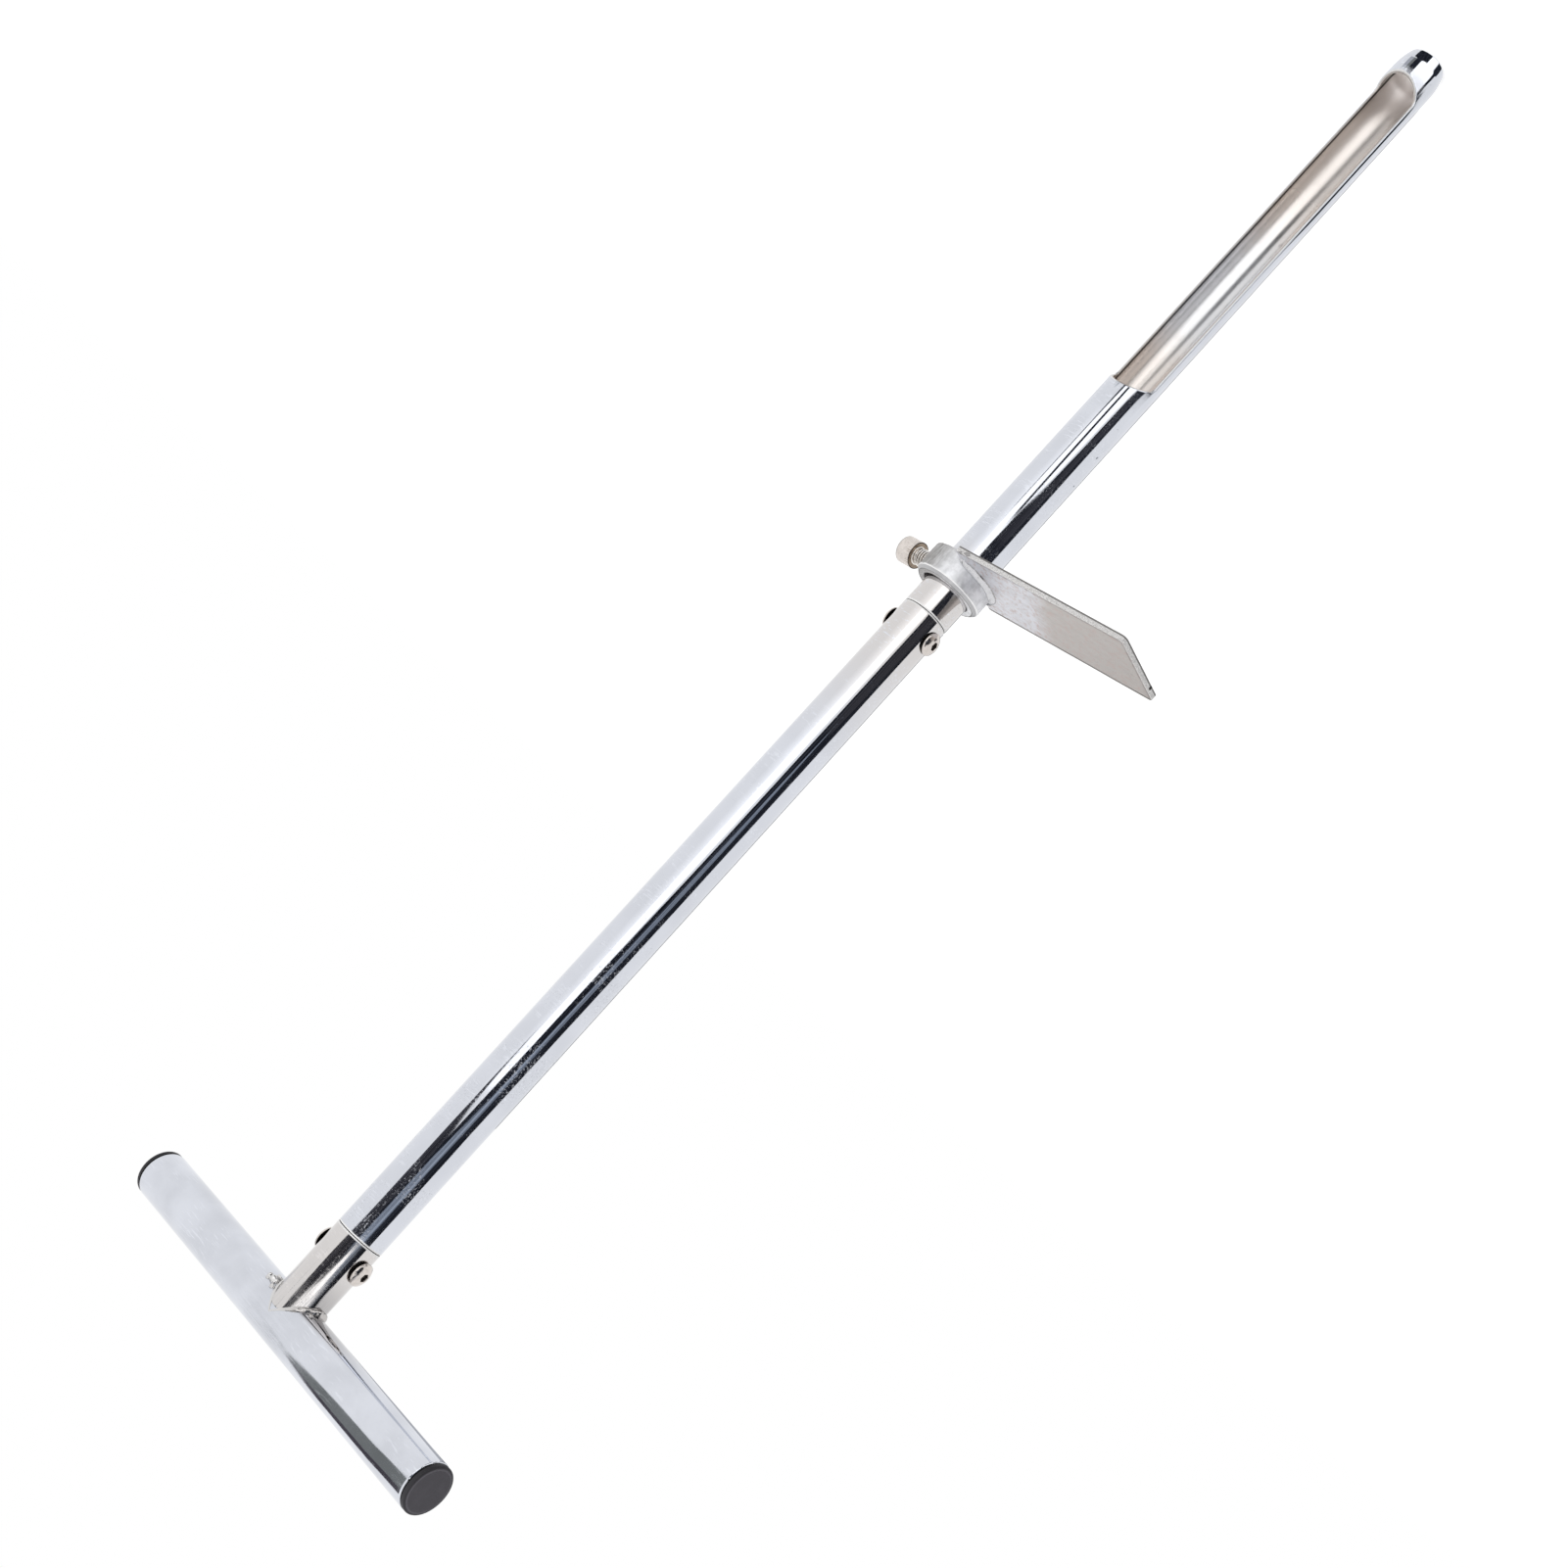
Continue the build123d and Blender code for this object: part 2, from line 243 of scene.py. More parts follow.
def hexagon(bm, ring, across_flats, height):
    """Ring of vertices on a hexagon, one under each vertex of a round ring."""
    out = []
    for v in ring:
        a = atan2(v.co.y, v.co.x)
        off = (a + pi / 6) % (pi / 3) - pi / 6
        reach = across_flats / 2 / cos(off)
        out.append(bm.verts.new((reach * cos(a), reach * sin(a), height)))
    return out


def socket(bm, ring, across_flats, face, depth):
    """Hexagon socket sunk inside a round ring at the height of a screw's face.

    Its walls and floor take the piece's second material.
    """
    lip = hexagon(bm, ring, across_flats + 0.3, face)
    wall = hexagon(bm, ring, across_flats, face - 0.18)
    floor = hexagon(bm, ring, across_flats, face - depth)
    point = [bm.verts.new((0, 0, face - depth - 0.25 * across_flats))]
    for upper, lower, material in ((ring, lip, 0), (lip, wall, 0), (wall, floor, 1), (floor, point, 1)):
        bridge(bm, upper, lower, material)


def roughen(bm, height, size, seed):
    """Push every vertex along its normal by smooth noise of that height and grain size."""
    bm.normal_update()
    moves = []
    for v in bm.verts:
        moves.append(v.normal * height * noise.noise(v.co / size + Vector((seed, 2 * seed, -seed))))
    for v, move in zip(bm.verts, moves):
        v.co += move


def blob(bm, centre, size, seed, fit=Vector, material=0):
    """Small uneven lump. fit moves its points out of what it sits on."""
    made = bmesh.ops.create_icosphere(bm, subdivisions=3, radius=1.0)
    for v in made["verts"]:
        swell = 1 + 0.35 * noise.noise(v.co * 1.3 + Vector((seed, 0, 0)))
        v.co = fit(Vector(centre) + v.co * Vector(size) * swell)
        for face in v.link_faces:
            face.material_index = material


def add_object(name, data):
    """New object in the scene."""
    made = bpy.data.objects.new(name, data)
    bpy.context.scene.collection.objects.link(made)
    return made


def add_mesh(name, bm, materials):
    """New object in the scene from a mesh that is ready."""
    mesh = bpy.data.meshes.new(name)
    bm.to_mesh(mesh)
    bm.free()
    for material in materials:
        mesh.materials.append(material)
    return add_object(name, mesh)


def finish_piece(name, bm, body, materials, nodes, place=None):
    """Turn a millimetre mesh into a piece that rides on a body and stands for CAD nodes."""
    if place is not None:
        bm.transform(place)
    bmesh.ops.recalc_face_normals(bm, faces=bm.faces)
    piece = add_mesh(name, bm, materials)
    piece.data.transform(Matrix.Scale(MM, 4))
    piece.data.shade_smooth()
    piece.data.set_sharp_from_angle(angle=SHARP)
    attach(piece, body)
    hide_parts(*nodes)
    return piece


def soften_edges(piece, width):
    """Small rounded bevel on a piece's sharp edges."""
    bevel = piece.modifiers.new("soft_edges", "BEVEL")
    bevel.width = width * MM
    bevel.segments = 3
    bevel.limit_method = "ANGLE"
    bevel.angle_limit = radians(50)
    bevel.harden_normals = True


def outward(azimuth, height):
    """Place for a shape drawn along +Z that points out from the tube's axis."""
    turn = Matrix.Rotation(azimuth, 4, "Z") @ Matrix.Rotation(pi / 2, 4, "Y")
    return Matrix.Translation((0, 0, height)) @ turn


def along_bar(side=1):
    """Place for a shape drawn along +Z from the middle of the handle bar."""
    return Matrix.Translation((0, 0, BAR_HEIGHT)) @ Matrix.Rotation(side * pi / 2, 4, "Y")


# Materials

COOL_CHROME = (0.665, 0.685, 0.74)
WARM_CHROME = (0.67, 0.648, 0.64)
# painted highlight on the tubes' rounded rims at the joints
RIM_HIGHLIGHT = (0.93, 0.925, 0.92)
WARM_NICKEL = (0.68, 0.63, 0.595)
# grey of the shade painted near the handle weld
WELD_SHADE_GREY = (0.40, 0.39, 0.395)
# near black: painted shade under the screw heads and in the seams of the joints, and the plate's nick
NEAR_BLACK = (0.018, 0.016, 0.015)
ABOVE_ALL = (900.0, 901.0) # heights that nothing on the part reaches


def shade(color, factor):
    """A colour made lighter or darker."""
    return tuple(min(1.0, c * factor) for c in color)


def long_grain(axis, across, along):
    """Grain size drawn out along one axis."""
    return tuple(along if i == axis else across for i in range(3))


def add_node(tree, kind, *values, **settings):
    """New node with its properties set and its first inputs linked or set."""
    made = tree.nodes.new(kind)
    for key, value in settings.items():
        setattr(made, key, value)
    for put, value in zip(made.inputs, values):
        if isinstance(value, bpy.types.NodeSocket):
            tree.links.new(value, put)
        elif value is not None:
            put.default_value = value
    return made


class Surface:
    """A Principled material whose patterns are placed in millimetres on the piece.

    color is the colour that it starts from and tint the colour so far, as coats are painted on.
    """

    def __init__(self, name, color, metallic=1.0, roughness=0.2):
        self.material = bpy.data.materials.new(name)
        self.material.use_nodes = True
        self.tree = self.material.node_tree
        self.shader = self.tree.nodes["Principled BSDF"]
        self.shader.inputs["Base Color"].default_value = (*color, 1)
        self.shader.inputs["Metallic"].default_value = metallic
        self.shader.inputs["Roughness"].default_value = roughness
        self.color = self.tint = color
        coordinates = self.node("ShaderNodeTexCoord")
        scale = self.node("ShaderNodeMapping", coordinates.outputs["Object"])
        scale.inputs["Scale"].default_value = (1 / MM, 1 / MM, 1 / MM)
        self.place = scale.outputs["Vector"]

    def node(self, kind, *values, **settings):
        return add_node(self.tree, kind, *values, **settings)

    def set(self, name, source):
        """Let a pattern set one of the shader's inputs."""
        self.tree.links.new(source, self.shader.inputs[name])

    def mottle(self, pattern, dark, light):
        """Start from a darker and a lighter shade of the colour, mixed by a pattern."""
        self.tint = self.mix(pattern, shade(self.color, dark), shade(self.color, light))

    def paint(self, pattern, color, share=1.0):
        """Lay a colour over the one so far where a pattern is 1, as strongly as the share."""
        self.tint = self.mix(pattern if share == 1.0 else self.times(pattern, share), self.tint, color)

    def finish(self, rough, *layers):
        """Set the colour, the roughness and the bump layers. Returns the material."""
        self.set("Base Color", self.tint)
        self.set("Roughness", rough)
        self.bump(*layers)
        return self.material

    def grain(self, size, detail=3.0, gain=0.5, shift=0.0, turn=(0, 0, 0)):
        """Noise from 0 to 1. size is the grain's size along X, Y and Z, in millimetres."""
        if not isinstance(size, tuple):
            size = (size, size, size)
        scale = tuple(1 / s for s in size)
        mapping = self.node("ShaderNodeMapping", self.place, (shift, 1.7 * shift, -shift), turn, scale)
        made = self.node("ShaderNodeTexNoise", mapping.outputs["Vector"])
        for name, value in (("Scale", 1.0), ("Detail", detail), ("Roughness", gain)):
            made.inputs[name].default_value = value
        return made.outputs["Fac"]

    def spots(self, spacing, size, share, shift=0.0):
        """1 inside scattered round spots of about that size, 0 elsewhere."""
        mapping = self.node("ShaderNodeMapping", self.place, (shift, -shift, 2 * shift))
        cells = self.node("ShaderNodeTexVoronoi", mapping.outputs["Vector"])
        cells.inputs["Scale"].default_value = 1 / spacing
        near = self.steps(cells.outputs["Distance"], size / spacing, 0.6 * size / spacing)
        chosen = self.node("ShaderNodeSeparateColor", cells.outputs["Color"])
        return self.times(near, self.steps(chosen.outputs["Red"], 1 - share, 1.01 - share))

    def axis(self, index):
        """One coordinate on the piece, in millimetres."""
        return self.node("ShaderNodeSeparateXYZ", self.place).outputs[index]

    def steps(self, value, low, high, to_low=0.0, to_high=1.0):
        """Smooth change from to_low at low to to_high at high."""
        ends = (low, high, to_low, to_high) if low < high else (high, low, to_high, to_low)
        made = self.node("ShaderNodeMapRange", value, *ends, interpolation_type="SMOOTHSTEP")
        return made.outputs["Result"]

    def band(self, value, low, high, soft):
        """1 between two values, fading to 0 over the soft width outside them."""
        return self.times(self.steps(value, low - soft, low), self.steps(value, high + soft, high))

    def along(self, azimuth):
        """Distance from the tube's axis in a level direction, in millimetres."""
        return self.plus(self.times(self.axis(0), cos(azimuth)), self.times(self.axis(1), sin(azimuth)))

    def apart(self, first, second):
        """Length of a distance with two parts square to each other."""
        return self.math("SQRT", self.plus(self.times(first, first), self.times(second, second)))

    def math(self, operation, a, b=0.0):
        return self.node("ShaderNodeMath", a, b, operation=operation).outputs["Value"]

    def times(self, a, b):
        return self.math("MULTIPLY", a, b)

    def plus(self, a, b):
        return self.math("ADD", a, b)

    def mix(self, share, first, second):
        """Colour between two colours, each a socket or a triple."""
        made = self.node("ShaderNodeMix", share, data_type="RGBA")
        for put, value in ((made.inputs[6], first), (made.inputs[7], second)):
            if isinstance(value, bpy.types.NodeSocket):
                self.tree.links.new(value, put)
            else:
                put.default_value = (*value, 1)
        return made.outputs[2]

    def bump(self, *layers):
        """Bump from (height pattern, depth in millimetres) layers."""
        normal = None
        for height, depth in layers:
            made = self.node("ShaderNodeBump")
            made.inputs["Strength"].default_value = 1.0
            made.inputs["Distance"].default_value = depth * MM
            self.tree.links.new(height, made.inputs["Height"])
            if normal is not None:
                self.tree.links.new(normal, made.inputs["Normal"])
            normal = made.outputs["Normal"]
        self.set("Normal", normal)


def chrome(
    name, color, axis, haze=None, warm=None, screws=None, seams=(), cloudy=0.03, wavy=0.012,
    dusty=ABOVE_ALL, weld_shade=None,
):
    """Bright chrome with drawn lines along the tube, specks, hairline marks, dust and dull patches.

    haze, as (axis, start, end, roughness), is where heat from welding has left it dull. warm, as
    two heights, is where the plating turns to a warm tone. screws is the height of the joint's
    screws, under whose heads the tube is painted black as shade. seams are the heights of joints,
    whose rounded rims get a painted highlight and whose middle a painted black line of shade.
    dusty, as two heights, is where dust grows from light to heavy. The last argument holds ramps,
    as (axis, start, end), that together mark where grey shade is painted near the handle weld.
    """
    s = Surface(name, color)
    clouds = s.grain(22.0, detail=4, shift=3.1)
    lines = s.grain(long_grain(axis, 0.7, 60.0), detail=4, gain=0.6, shift=9.0)
    waves = s.grain(long_grain(axis, 5.0, 45.0), detail=2, shift=5.0)
    specks = s.grain(0.55, detail=4, gain=0.7)
    hairs = s.steps(s.grain((9.0, 0.12, 0.5), detail=2, turn=(0.3, 0.5, 0.9)), 0.70, 0.78)
    pits = s.spots(7.0, 0.32, 0.35)
    dust = s.steps(s.grain(1.0, detail=5, gain=0.7, shift=14.0), 0.50, 0.68)
    patches = s.steps(s.grain(16.0, detail=3, shift=8.0), 0.42, 0.64)
    scuffs = s.steps(s.grain((8.0, 0.9, 0.9), detail=2, shift=6.0, turn=(0.9, 0.2, 0.6)), 0.56, 0.68)
    scuffs = s.times(scuffs, patches)
    dust = s.times(s.times(dust, patches), s.steps(s.axis(2), *dusty, 0.1, 1.0))
    rough = s.steps(clouds, 0.3, 0.75, 0.035, 0.085)
    for marks, amount in ((hairs, 0.10), (pits, 0.25), (scuffs, 0.08), (dust, 0.16)):
        rough = s.plus(rough, s.times(marks, amount))
    s.mottle(s.steps(clouds, 0.3, 0.7), 1 - cloudy, 1 + cloudy)
    if warm is not None:
        s.paint(s.steps(s.axis(2), *warm), WARM_CHROME)
    s.paint(hairs, shade(color, 0.78), 0.35)
    s.paint(scuffs, shade(color, 1.12))
    # Grey shade painted on the stem's front strip and the bar's underside near the handle weld.
    if weld_shade is not None:
        s.paint(reduce(s.times, (s.steps(s.axis(index), *ends) for index, *ends in weld_shade)), WELD_SHADE_GREY)
    # The tube is painted black under the screw heads, as shade in the gap beneath them.
    if screws is not None:
        across = s.apart(s.along(SCREW_AZIMUTH + pi / 2), s.plus(s.axis(2), -screws))
        under = s.steps(across, SCREW_HEAD_R - 0.15, SCREW_HEAD_R - 0.45)
        s.paint(under, NEAR_BLACK)
        rough = s.plus(rough, s.times(under, 0.6))
    metallic = s.steps(dust, 0.0, 1.0, 1.0, 0.3)
    # At each joint the tubes' rounded rims get a painted highlight, and the middle of the seam a painted
    # black line of shade.
    for seam in seams:
        rim = s.band(s.axis(2), seam - END_ROUND, seam + END_ROUND, 0.4)
        rough = s.plus(rough, s.times(rim, 0.4))
        metallic = s.times(metallic, s.steps(rim, 0.0, 1.0, 1.0, 0.35))
        s.paint(rim, RIM_HIGHLIGHT)
        s.paint(s.band(s.axis(2), seam - 0.14, seam + 0.14, 0.12), NEAR_BLACK)
    layers = [(waves, wavy), (lines, 0.0034), (specks, 0.0006), (pits, -0.02)]
    if haze is not None:
        index, start, end, haze_roughness = haze
        far = s.axis(index)
        if index == 0:
            far = s.math("ABSOLUTE", far)
        streaks = s.grain(long_grain(axis, 0.9, 18.0), detail=4, gain=0.6, shift=2.0)
        dull = s.times(s.steps(far, start, end), s.steps(streaks, 0.3, 0.65))
        rough = s.plus(rough, s.times(dull, haze_roughness))
        s.paint(dull, shade(color, 0.9), 0.5)
        layers.append((s.times(streaks, dull), 0.006))
    s.set("Metallic", metallic)
    return s.finish(rough, *layers)


def satin_bore():
    """Satin wall inside the sampling tube, with draw lines and a dark line of painted shade along
    the window's edges.

    It is warm towards both ends of the window, and painted bright at the mouth as a highlight.
    """
    s = Surface("satin_bore", (0.73, 0.73, 0.745))
    clouds = s.grain((14.0, 14.0, 40.0), detail=2)
    lines = s.grain((0.5, 0.5, 70.0), detail=4, gain=0.6)
    stains = s.steps(s.grain(9.0, detail=2, shift=20.0), 0.5, 0.7)
    ends = s.plus(s.steps(s.axis(2), 145.0, 95.0), s.steps(s.axis(2), 180.0, 215.0))
    s.paint(ends, (0.74, 0.69, 0.655))
    s.paint(stains, (0.50, 0.44, 0.40), 0.12)
    # Painted highlight: the bore is painted bright towards the mouth.
    s.paint(s.steps(s.axis(2), 34.0, 14.0), (0.97, 0.93, 0.91), 0.8)
    # Painted shade: a dark line along the window's edges inside the bore.
    s.paint(s.band(s.along(WINDOW_AZIMUTH), 0.3, 1.5, 0.6), (0.04, 0.037, 0.037), 0.9)
    rough = s.plus(s.steps(clouds, 0.3, 0.7, 0.20, 0.26), s.steps(s.axis(2), 130.0, 40.0, 0.0, 0.14))
    return s.finish(rough, (lines, 0.0012), (s.grain(0.8, detail=3), 0.0002))


def cut_edge():
    """Ground and plated faces where the window was cut, with a dark line of painted shade along the bore.
    """
    s = Surface("cut_edge", (0.80, 0.795, 0.79))
    marks = s.grain((0.25, 0.25, 1.5), detail=4)
    s.mottle(s.grain(4.0, detail=4), 0.88, 1.06)
    across = s.apart(s.axis(0), s.axis(1))
    # The part of the cut face next to the bore is painted dark, as shade.
    s.paint(s.steps(across, BORE_R + 1.05, BORE_R + 0.45), (0.40, 0.365, 0.345))
    return s.finish(s.steps(marks, 0.3, 0.7, 0.18, 0.34), (marks, 0.008))


def collar_distance(s):
    """Distance from the collar's axis."""
    return s.apart(s.plus(s.axis(0), -COLLAR_X), s.axis(1))


def weld_metal(name, color, lumpy, dirty, clean=None, foot=None):
    """Weld under thin plating: crowns painted lighter and hollows darker, as highlight and shade, with
    dirt and small pits.

    clean is the height above which the handle's bead is smooth and free of dirt, as it is behind;
    its front end is grey. foot holds the distances from the collar's axis outside which the edges
    of the footrest's bead are painted grey as shade along its toes.
    """
    s = Surface(name, color)
    lumps = s.grain(2.6, detail=4)
    fine = s.grain(0.5, detail=4, shift=4.0)
    dirt = s.steps(s.grain(2.2, detail=4, shift=11.0), 0.54, 0.68)
    pits = s.spots(2.4, 0.3, 0.3)
    if clean is not None:
        rugged = s.times(s.steps(s.axis(2), clean, clean - 3.0), s.steps(s.axis(0), -5.0, 1.0))
        dirt, pits, lumps, fine = (s.times(marks, rugged) for marks in (dirt, pits, lumps, fine))
    # Crowns of the lumps are painted lighter and hollows darker, as highlight and shade.
    s.mottle(lumps, 0.9, 1.14)
    # The bead's edges against collar and plate are painted grey, as shade at its toes.
    if foot is not None:
        s.tint = s.mix(s.band(collar_distance(s), *foot, 0.25), (0.36, 0.35, 0.35), s.tint)
    if clean is not None:
        s.paint(s.steps(s.axis(0), 3.0, 11.0), (0.40, 0.375, 0.36), 0.65)
    s.paint(dirt, (0.22, 0.20, 0.19), dirty)
    s.paint(pits, (0.09, 0.08, 0.075), dirty)
    rough = s.plus(s.steps(lumps, 0.3, 0.7, 0.14, 0.28), s.times(dirt, 0.15))
    return s.finish(rough, (lumps, 0.16 * lumpy), (fine, 0.02 * lumpy), (pits, -0.08 * lumpy))


def cast_collar():
    """Dull plated ring, dark and scored round the clamp screw, with lines of painted highlight and shade
    on its chamfer.
    """
    s = Surface("cast_collar", (0.71, 0.715, 0.735), metallic=0.72)
    blotch = s.grain(4.5, detail=6, gain=0.55)
    fine = s.grain((0.6, 0.6, 2.2), detail=5, gain=0.65)
    scored = s.steps(s.grain((0.9, 0.9, 4.5), detail=5, gain=0.6, shift=5.0), 0.28, 0.62, 0.5, 0.95)
    s.mottle(s.steps(blotch, 0.36, 0.64), 0.98, 1.3)
    s.paint(s.times(s.steps(s.axis(0), 7.0, -7.0), scored), (0.26, 0.25, 0.24))
    inward = s.math("SUBTRACT", COLLAR_R, collar_distance(s))
    chamfer = s.steps(s.axis(2), COLLAR_TOP - 2.3, COLLAR_TOP - 1.9)
    chamfer_lines = s.times(chamfer, s.steps(blotch, 0.3, 0.45))
    # Painted light on the chamfer, broken by the blotches: a dark line past its inner edge, grey across it
    # and a white highlight line at its outer edge.
    for low, high, mark in (
        (1.9, 2.3, (0.16, 0.155, 0.15)),
        (0.4, 1.7, (0.50, 0.50, 0.51)),
        (0.05, 0.25, (0.95, 0.95, 0.95)),
    ):
        s.paint(s.times(s.band(inward, low, high, 0.15), chamfer_lines), mark)
    rough = s.steps(blotch, 0.3, 0.7, 0.34, 0.5)
    return s.finish(rough, (blotch, 0.08), (fine, 0.04), (s.spots(2.6, 0.3, 0.3), -0.08))


def step_plate():
    """Dull plated step: bluish beside the collar as a painted reflection, warm and mottled beyond,
    with sheared sides, and its far edge and underside painted dark as shade.
    """
    cool, warm = (0.76, 0.765, 0.81), (0.565, 0.53, 0.505)
    s = Surface("step_plate", warm, metallic=0.85)
    blotch = s.grain((7.0, 5.0, 5.0), detail=6, gain=0.55)
    mottle = s.grain(2.4, detail=5, gain=0.65, shift=4.0)
    fine = s.grain(0.6, detail=5, gain=0.7)
    rolled = s.grain((18.0, 1.1, 1.1), detail=4, shift=6.0)
    scratches = s.grain((2.6, 0.6, 0.6), detail=3, turn=(0, 0, 0.7))
    ragged = s.plus(s.axis(0), s.times(s.axis(1), -0.35))
    ragged = s.plus(ragged, s.times(blotch, 7.0))
    # The bluish zone beside the collar is a painted reflection.
    s.paint(s.steps(ragged, 66.0, 50.0), cool)
    for marks, share, color in (
        (s.steps(blotch, 0.40, 0.70), 0.25, (0.49, 0.465, 0.45)),
        (s.steps(mottle, 0.48, 0.66), 0.75, (0.56, 0.45, 0.42)),
        (s.steps(rolled, 0.45, 0.70), 0.10, (0.76, 0.74, 0.72)),
        (s.steps(scratches, 0.66, 0.72), 0.45, (0.22, 0.21, 0.21)),
        (s.spots(9.0, 0.5, 0.25), 0.65, (0.22, 0.20, 0.19)),
    ):
        s.paint(marks, color, share)
    side = s.plus(s.math("ABSOLUTE", s.axis(1)), PLATE_CORNER_R - PLATE_HALF_WIDTH)
    past = s.plus(s.axis(0), PLATE_CORNER_R - PLATE_REACH)
    near_edge = s.apart(s.math("MAXIMUM", side), s.math("MAXIMUM", past))
    line = s.times(s.band(near_edge, 1.3, 2.0, 0.3), s.steps(mottle, 0.3, 0.6, 0.2, 0.65))
    s.paint(line, (0.22, 0.20, 0.19))
    cut = s.steps(near_edge, 2.35, 2.65)
    s.paint(cut, s.mix(s.steps(fine, 0.35, 0.65), (0.56, 0.55, 0.545), (0.92, 0.91, 0.90)))
    # The far edge is painted dark, as shade.
    far_side = s.steps(s.axis(1), 2.0 - PLATE_HALF_WIDTH, 1.5 - PLATE_HALF_WIDTH)
    s.paint(far_side, (0.17, 0.155, 0.145), 0.8)
    # The underside is painted dark, as shade.
    underside = s.steps(s.axis(2), COLLAR_BOTTOM + 1.0, COLLAR_BOTTOM + 0.6)
    s.paint(underside, (0.14, 0.13, 0.125), 0.85)
    nick = s.steps(s.axis(0), PLATE_REACH - 1.0, PLATE_REACH - 0.6)
    nick = s.times(nick, s.band(s.axis(1), -16.2, -14.6, 0.3))
    nick = s.times(nick, s.steps(s.axis(2), PLATE_TOP - 0.8, PLATE_TOP - 1.3))
    s.paint(nick, NEAR_BLACK)
    s.set("Metallic", s.steps(near_edge, 2.35, 2.65, 0.85, 0.5))
    rough = s.plus(s.steps(blotch, 0.3, 0.7, 0.34, 0.48), s.times(cut, 0.3))
    pits = s.spots(9.0, 0.5, 0.3, 3.0)
    return s.finish(rough, (blotch, 0.025), (rolled, 0.006), (fine, 0.008), (pits, -0.05))


def nickel(name, color, smooth, dull):
    """Warm nickel plate with fine marks and small stains: its surface, roughness and bump layers."""
    s = Surface(name, color)
    stains = s.grain(2.4, detail=4)
    fine = s.grain(0.3, detail=3)
    grime = s.steps(s.grain(1.6, detail=4, shift=7.0), 0.58, 0.7)
    s.mottle(s.steps(stains, 0.3, 0.7), 0.92, 1.06)
    s.paint(grime, (0.30, 0.26, 0.22), 0.2)
    return s, s.steps(stains, 0.3, 0.7, smooth, dull), ((fine, 0.002), (stains, 0.008))


def joint_screw_nickel():
    """Nickel of the joint screws, painted black under the heads as shade."""
    s, rough, layers = nickel("joint_screw_nickel", WARM_NICKEL, 0.12, 0.20)
    out = s.math("ABSOLUTE", s.along(SCREW_AZIMUTH))
    # The underside of each head and the shank below are painted black, as shade.
    s.paint(s.steps(out, TUBE_R + 0.5, TUBE_R + 0.35), NEAR_BLACK)
    return s.finish(rough, *layers)


def clamp_screw_nickel():
    """Nickel of the clamp screw, with painted light: bright thread crests and brown roots as highlight
    and shade, the head's underside brown with a dark rim as shade.
    """
    s, rough, layers = nickel("clamp_screw_nickel", shade(WARM_NICKEL, 1.05), 0.24, 0.34)
    out = s.math("ABSOLUTE", s.axis(0))
    across = s.apart(s.axis(1), s.plus(s.axis(2), -CLAMP_HEIGHT))
    dashes = s.steps(s.grain((4.0, 0.45, 0.45), detail=3, shift=6.0), 0.52, 0.62)
    dashes = s.times(dashes, s.band(out, CLAMP_NECK + 0.3, CLAMP_NECK + 2.2, 0.5))
    s.paint(dashes, (0.30, 0.24, 0.19), 0.5)
    s.paint(s.steps(out, CLAMP_END - 1.3, CLAMP_END - 0.7), (0.36, 0.36, 0.36), 0.6)
    # Thread crests are painted near white as highlight and roots dark brown as shade.
    thread = s.mix(s.steps(across, CLAMP_R - 0.75, CLAMP_R - 0.2), (0.12, 0.085, 0.06), (0.97, 0.94, 0.90))
    # The head's underside is painted brown, darkening to black at its rim, as shade under the head.
    brown = s.mix(s.grain(1.5, detail=4, shift=3.0), (0.16, 0.12, 0.09), (0.42, 0.34, 0.27))
    rim = s.steps(across, CLAMP_HEAD_R - 0.7, CLAMP_HEAD_R - 0.35)
    below = s.mix(rim, brown, (0.03, 0.025, 0.02))
    below = s.mix(s.steps(across, CLAMP_R, CLAMP_R + 0.2), thread, below)
    s.paint(s.steps(out, CLAMP_NECK + 0.22, CLAMP_NECK + 0.08), below)
    return s.finish(rough, *layers)


def socket_shade_nickel():
    """Dull nickel inside the screws' hexagon sockets, painted dark as shade there, and mottled."""
    # The socket's dark colour is painted shade.
    s = Surface("socket_shade_nickel", (0.16, 0.14, 0.125))
    dirt = s.grain(0.9, detail=4)
    s.mottle(s.steps(dirt, 0.35, 0.65), 0.5, 1.5)
    return s.finish(s.steps(dirt, 0.3, 0.7, 0.35, 0.55), (dirt, 0.02))


def spigot_steel():
    """Turned steel with feed marks and a thin film of oil stain."""
    s = Surface("turned_spigot", (0.52, 0.52, 0.54))
    feed = s.grain((40.0, 40.0, 0.25), detail=3)
    stain = s.grain(8.0, detail=5)
    s.paint(s.steps(stain, 0.4, 0.7), (0.36, 0.335, 0.31))
    return s.finish(s.steps(stain, 0.3, 0.7, 0.25, 0.42), (feed, 0.01))


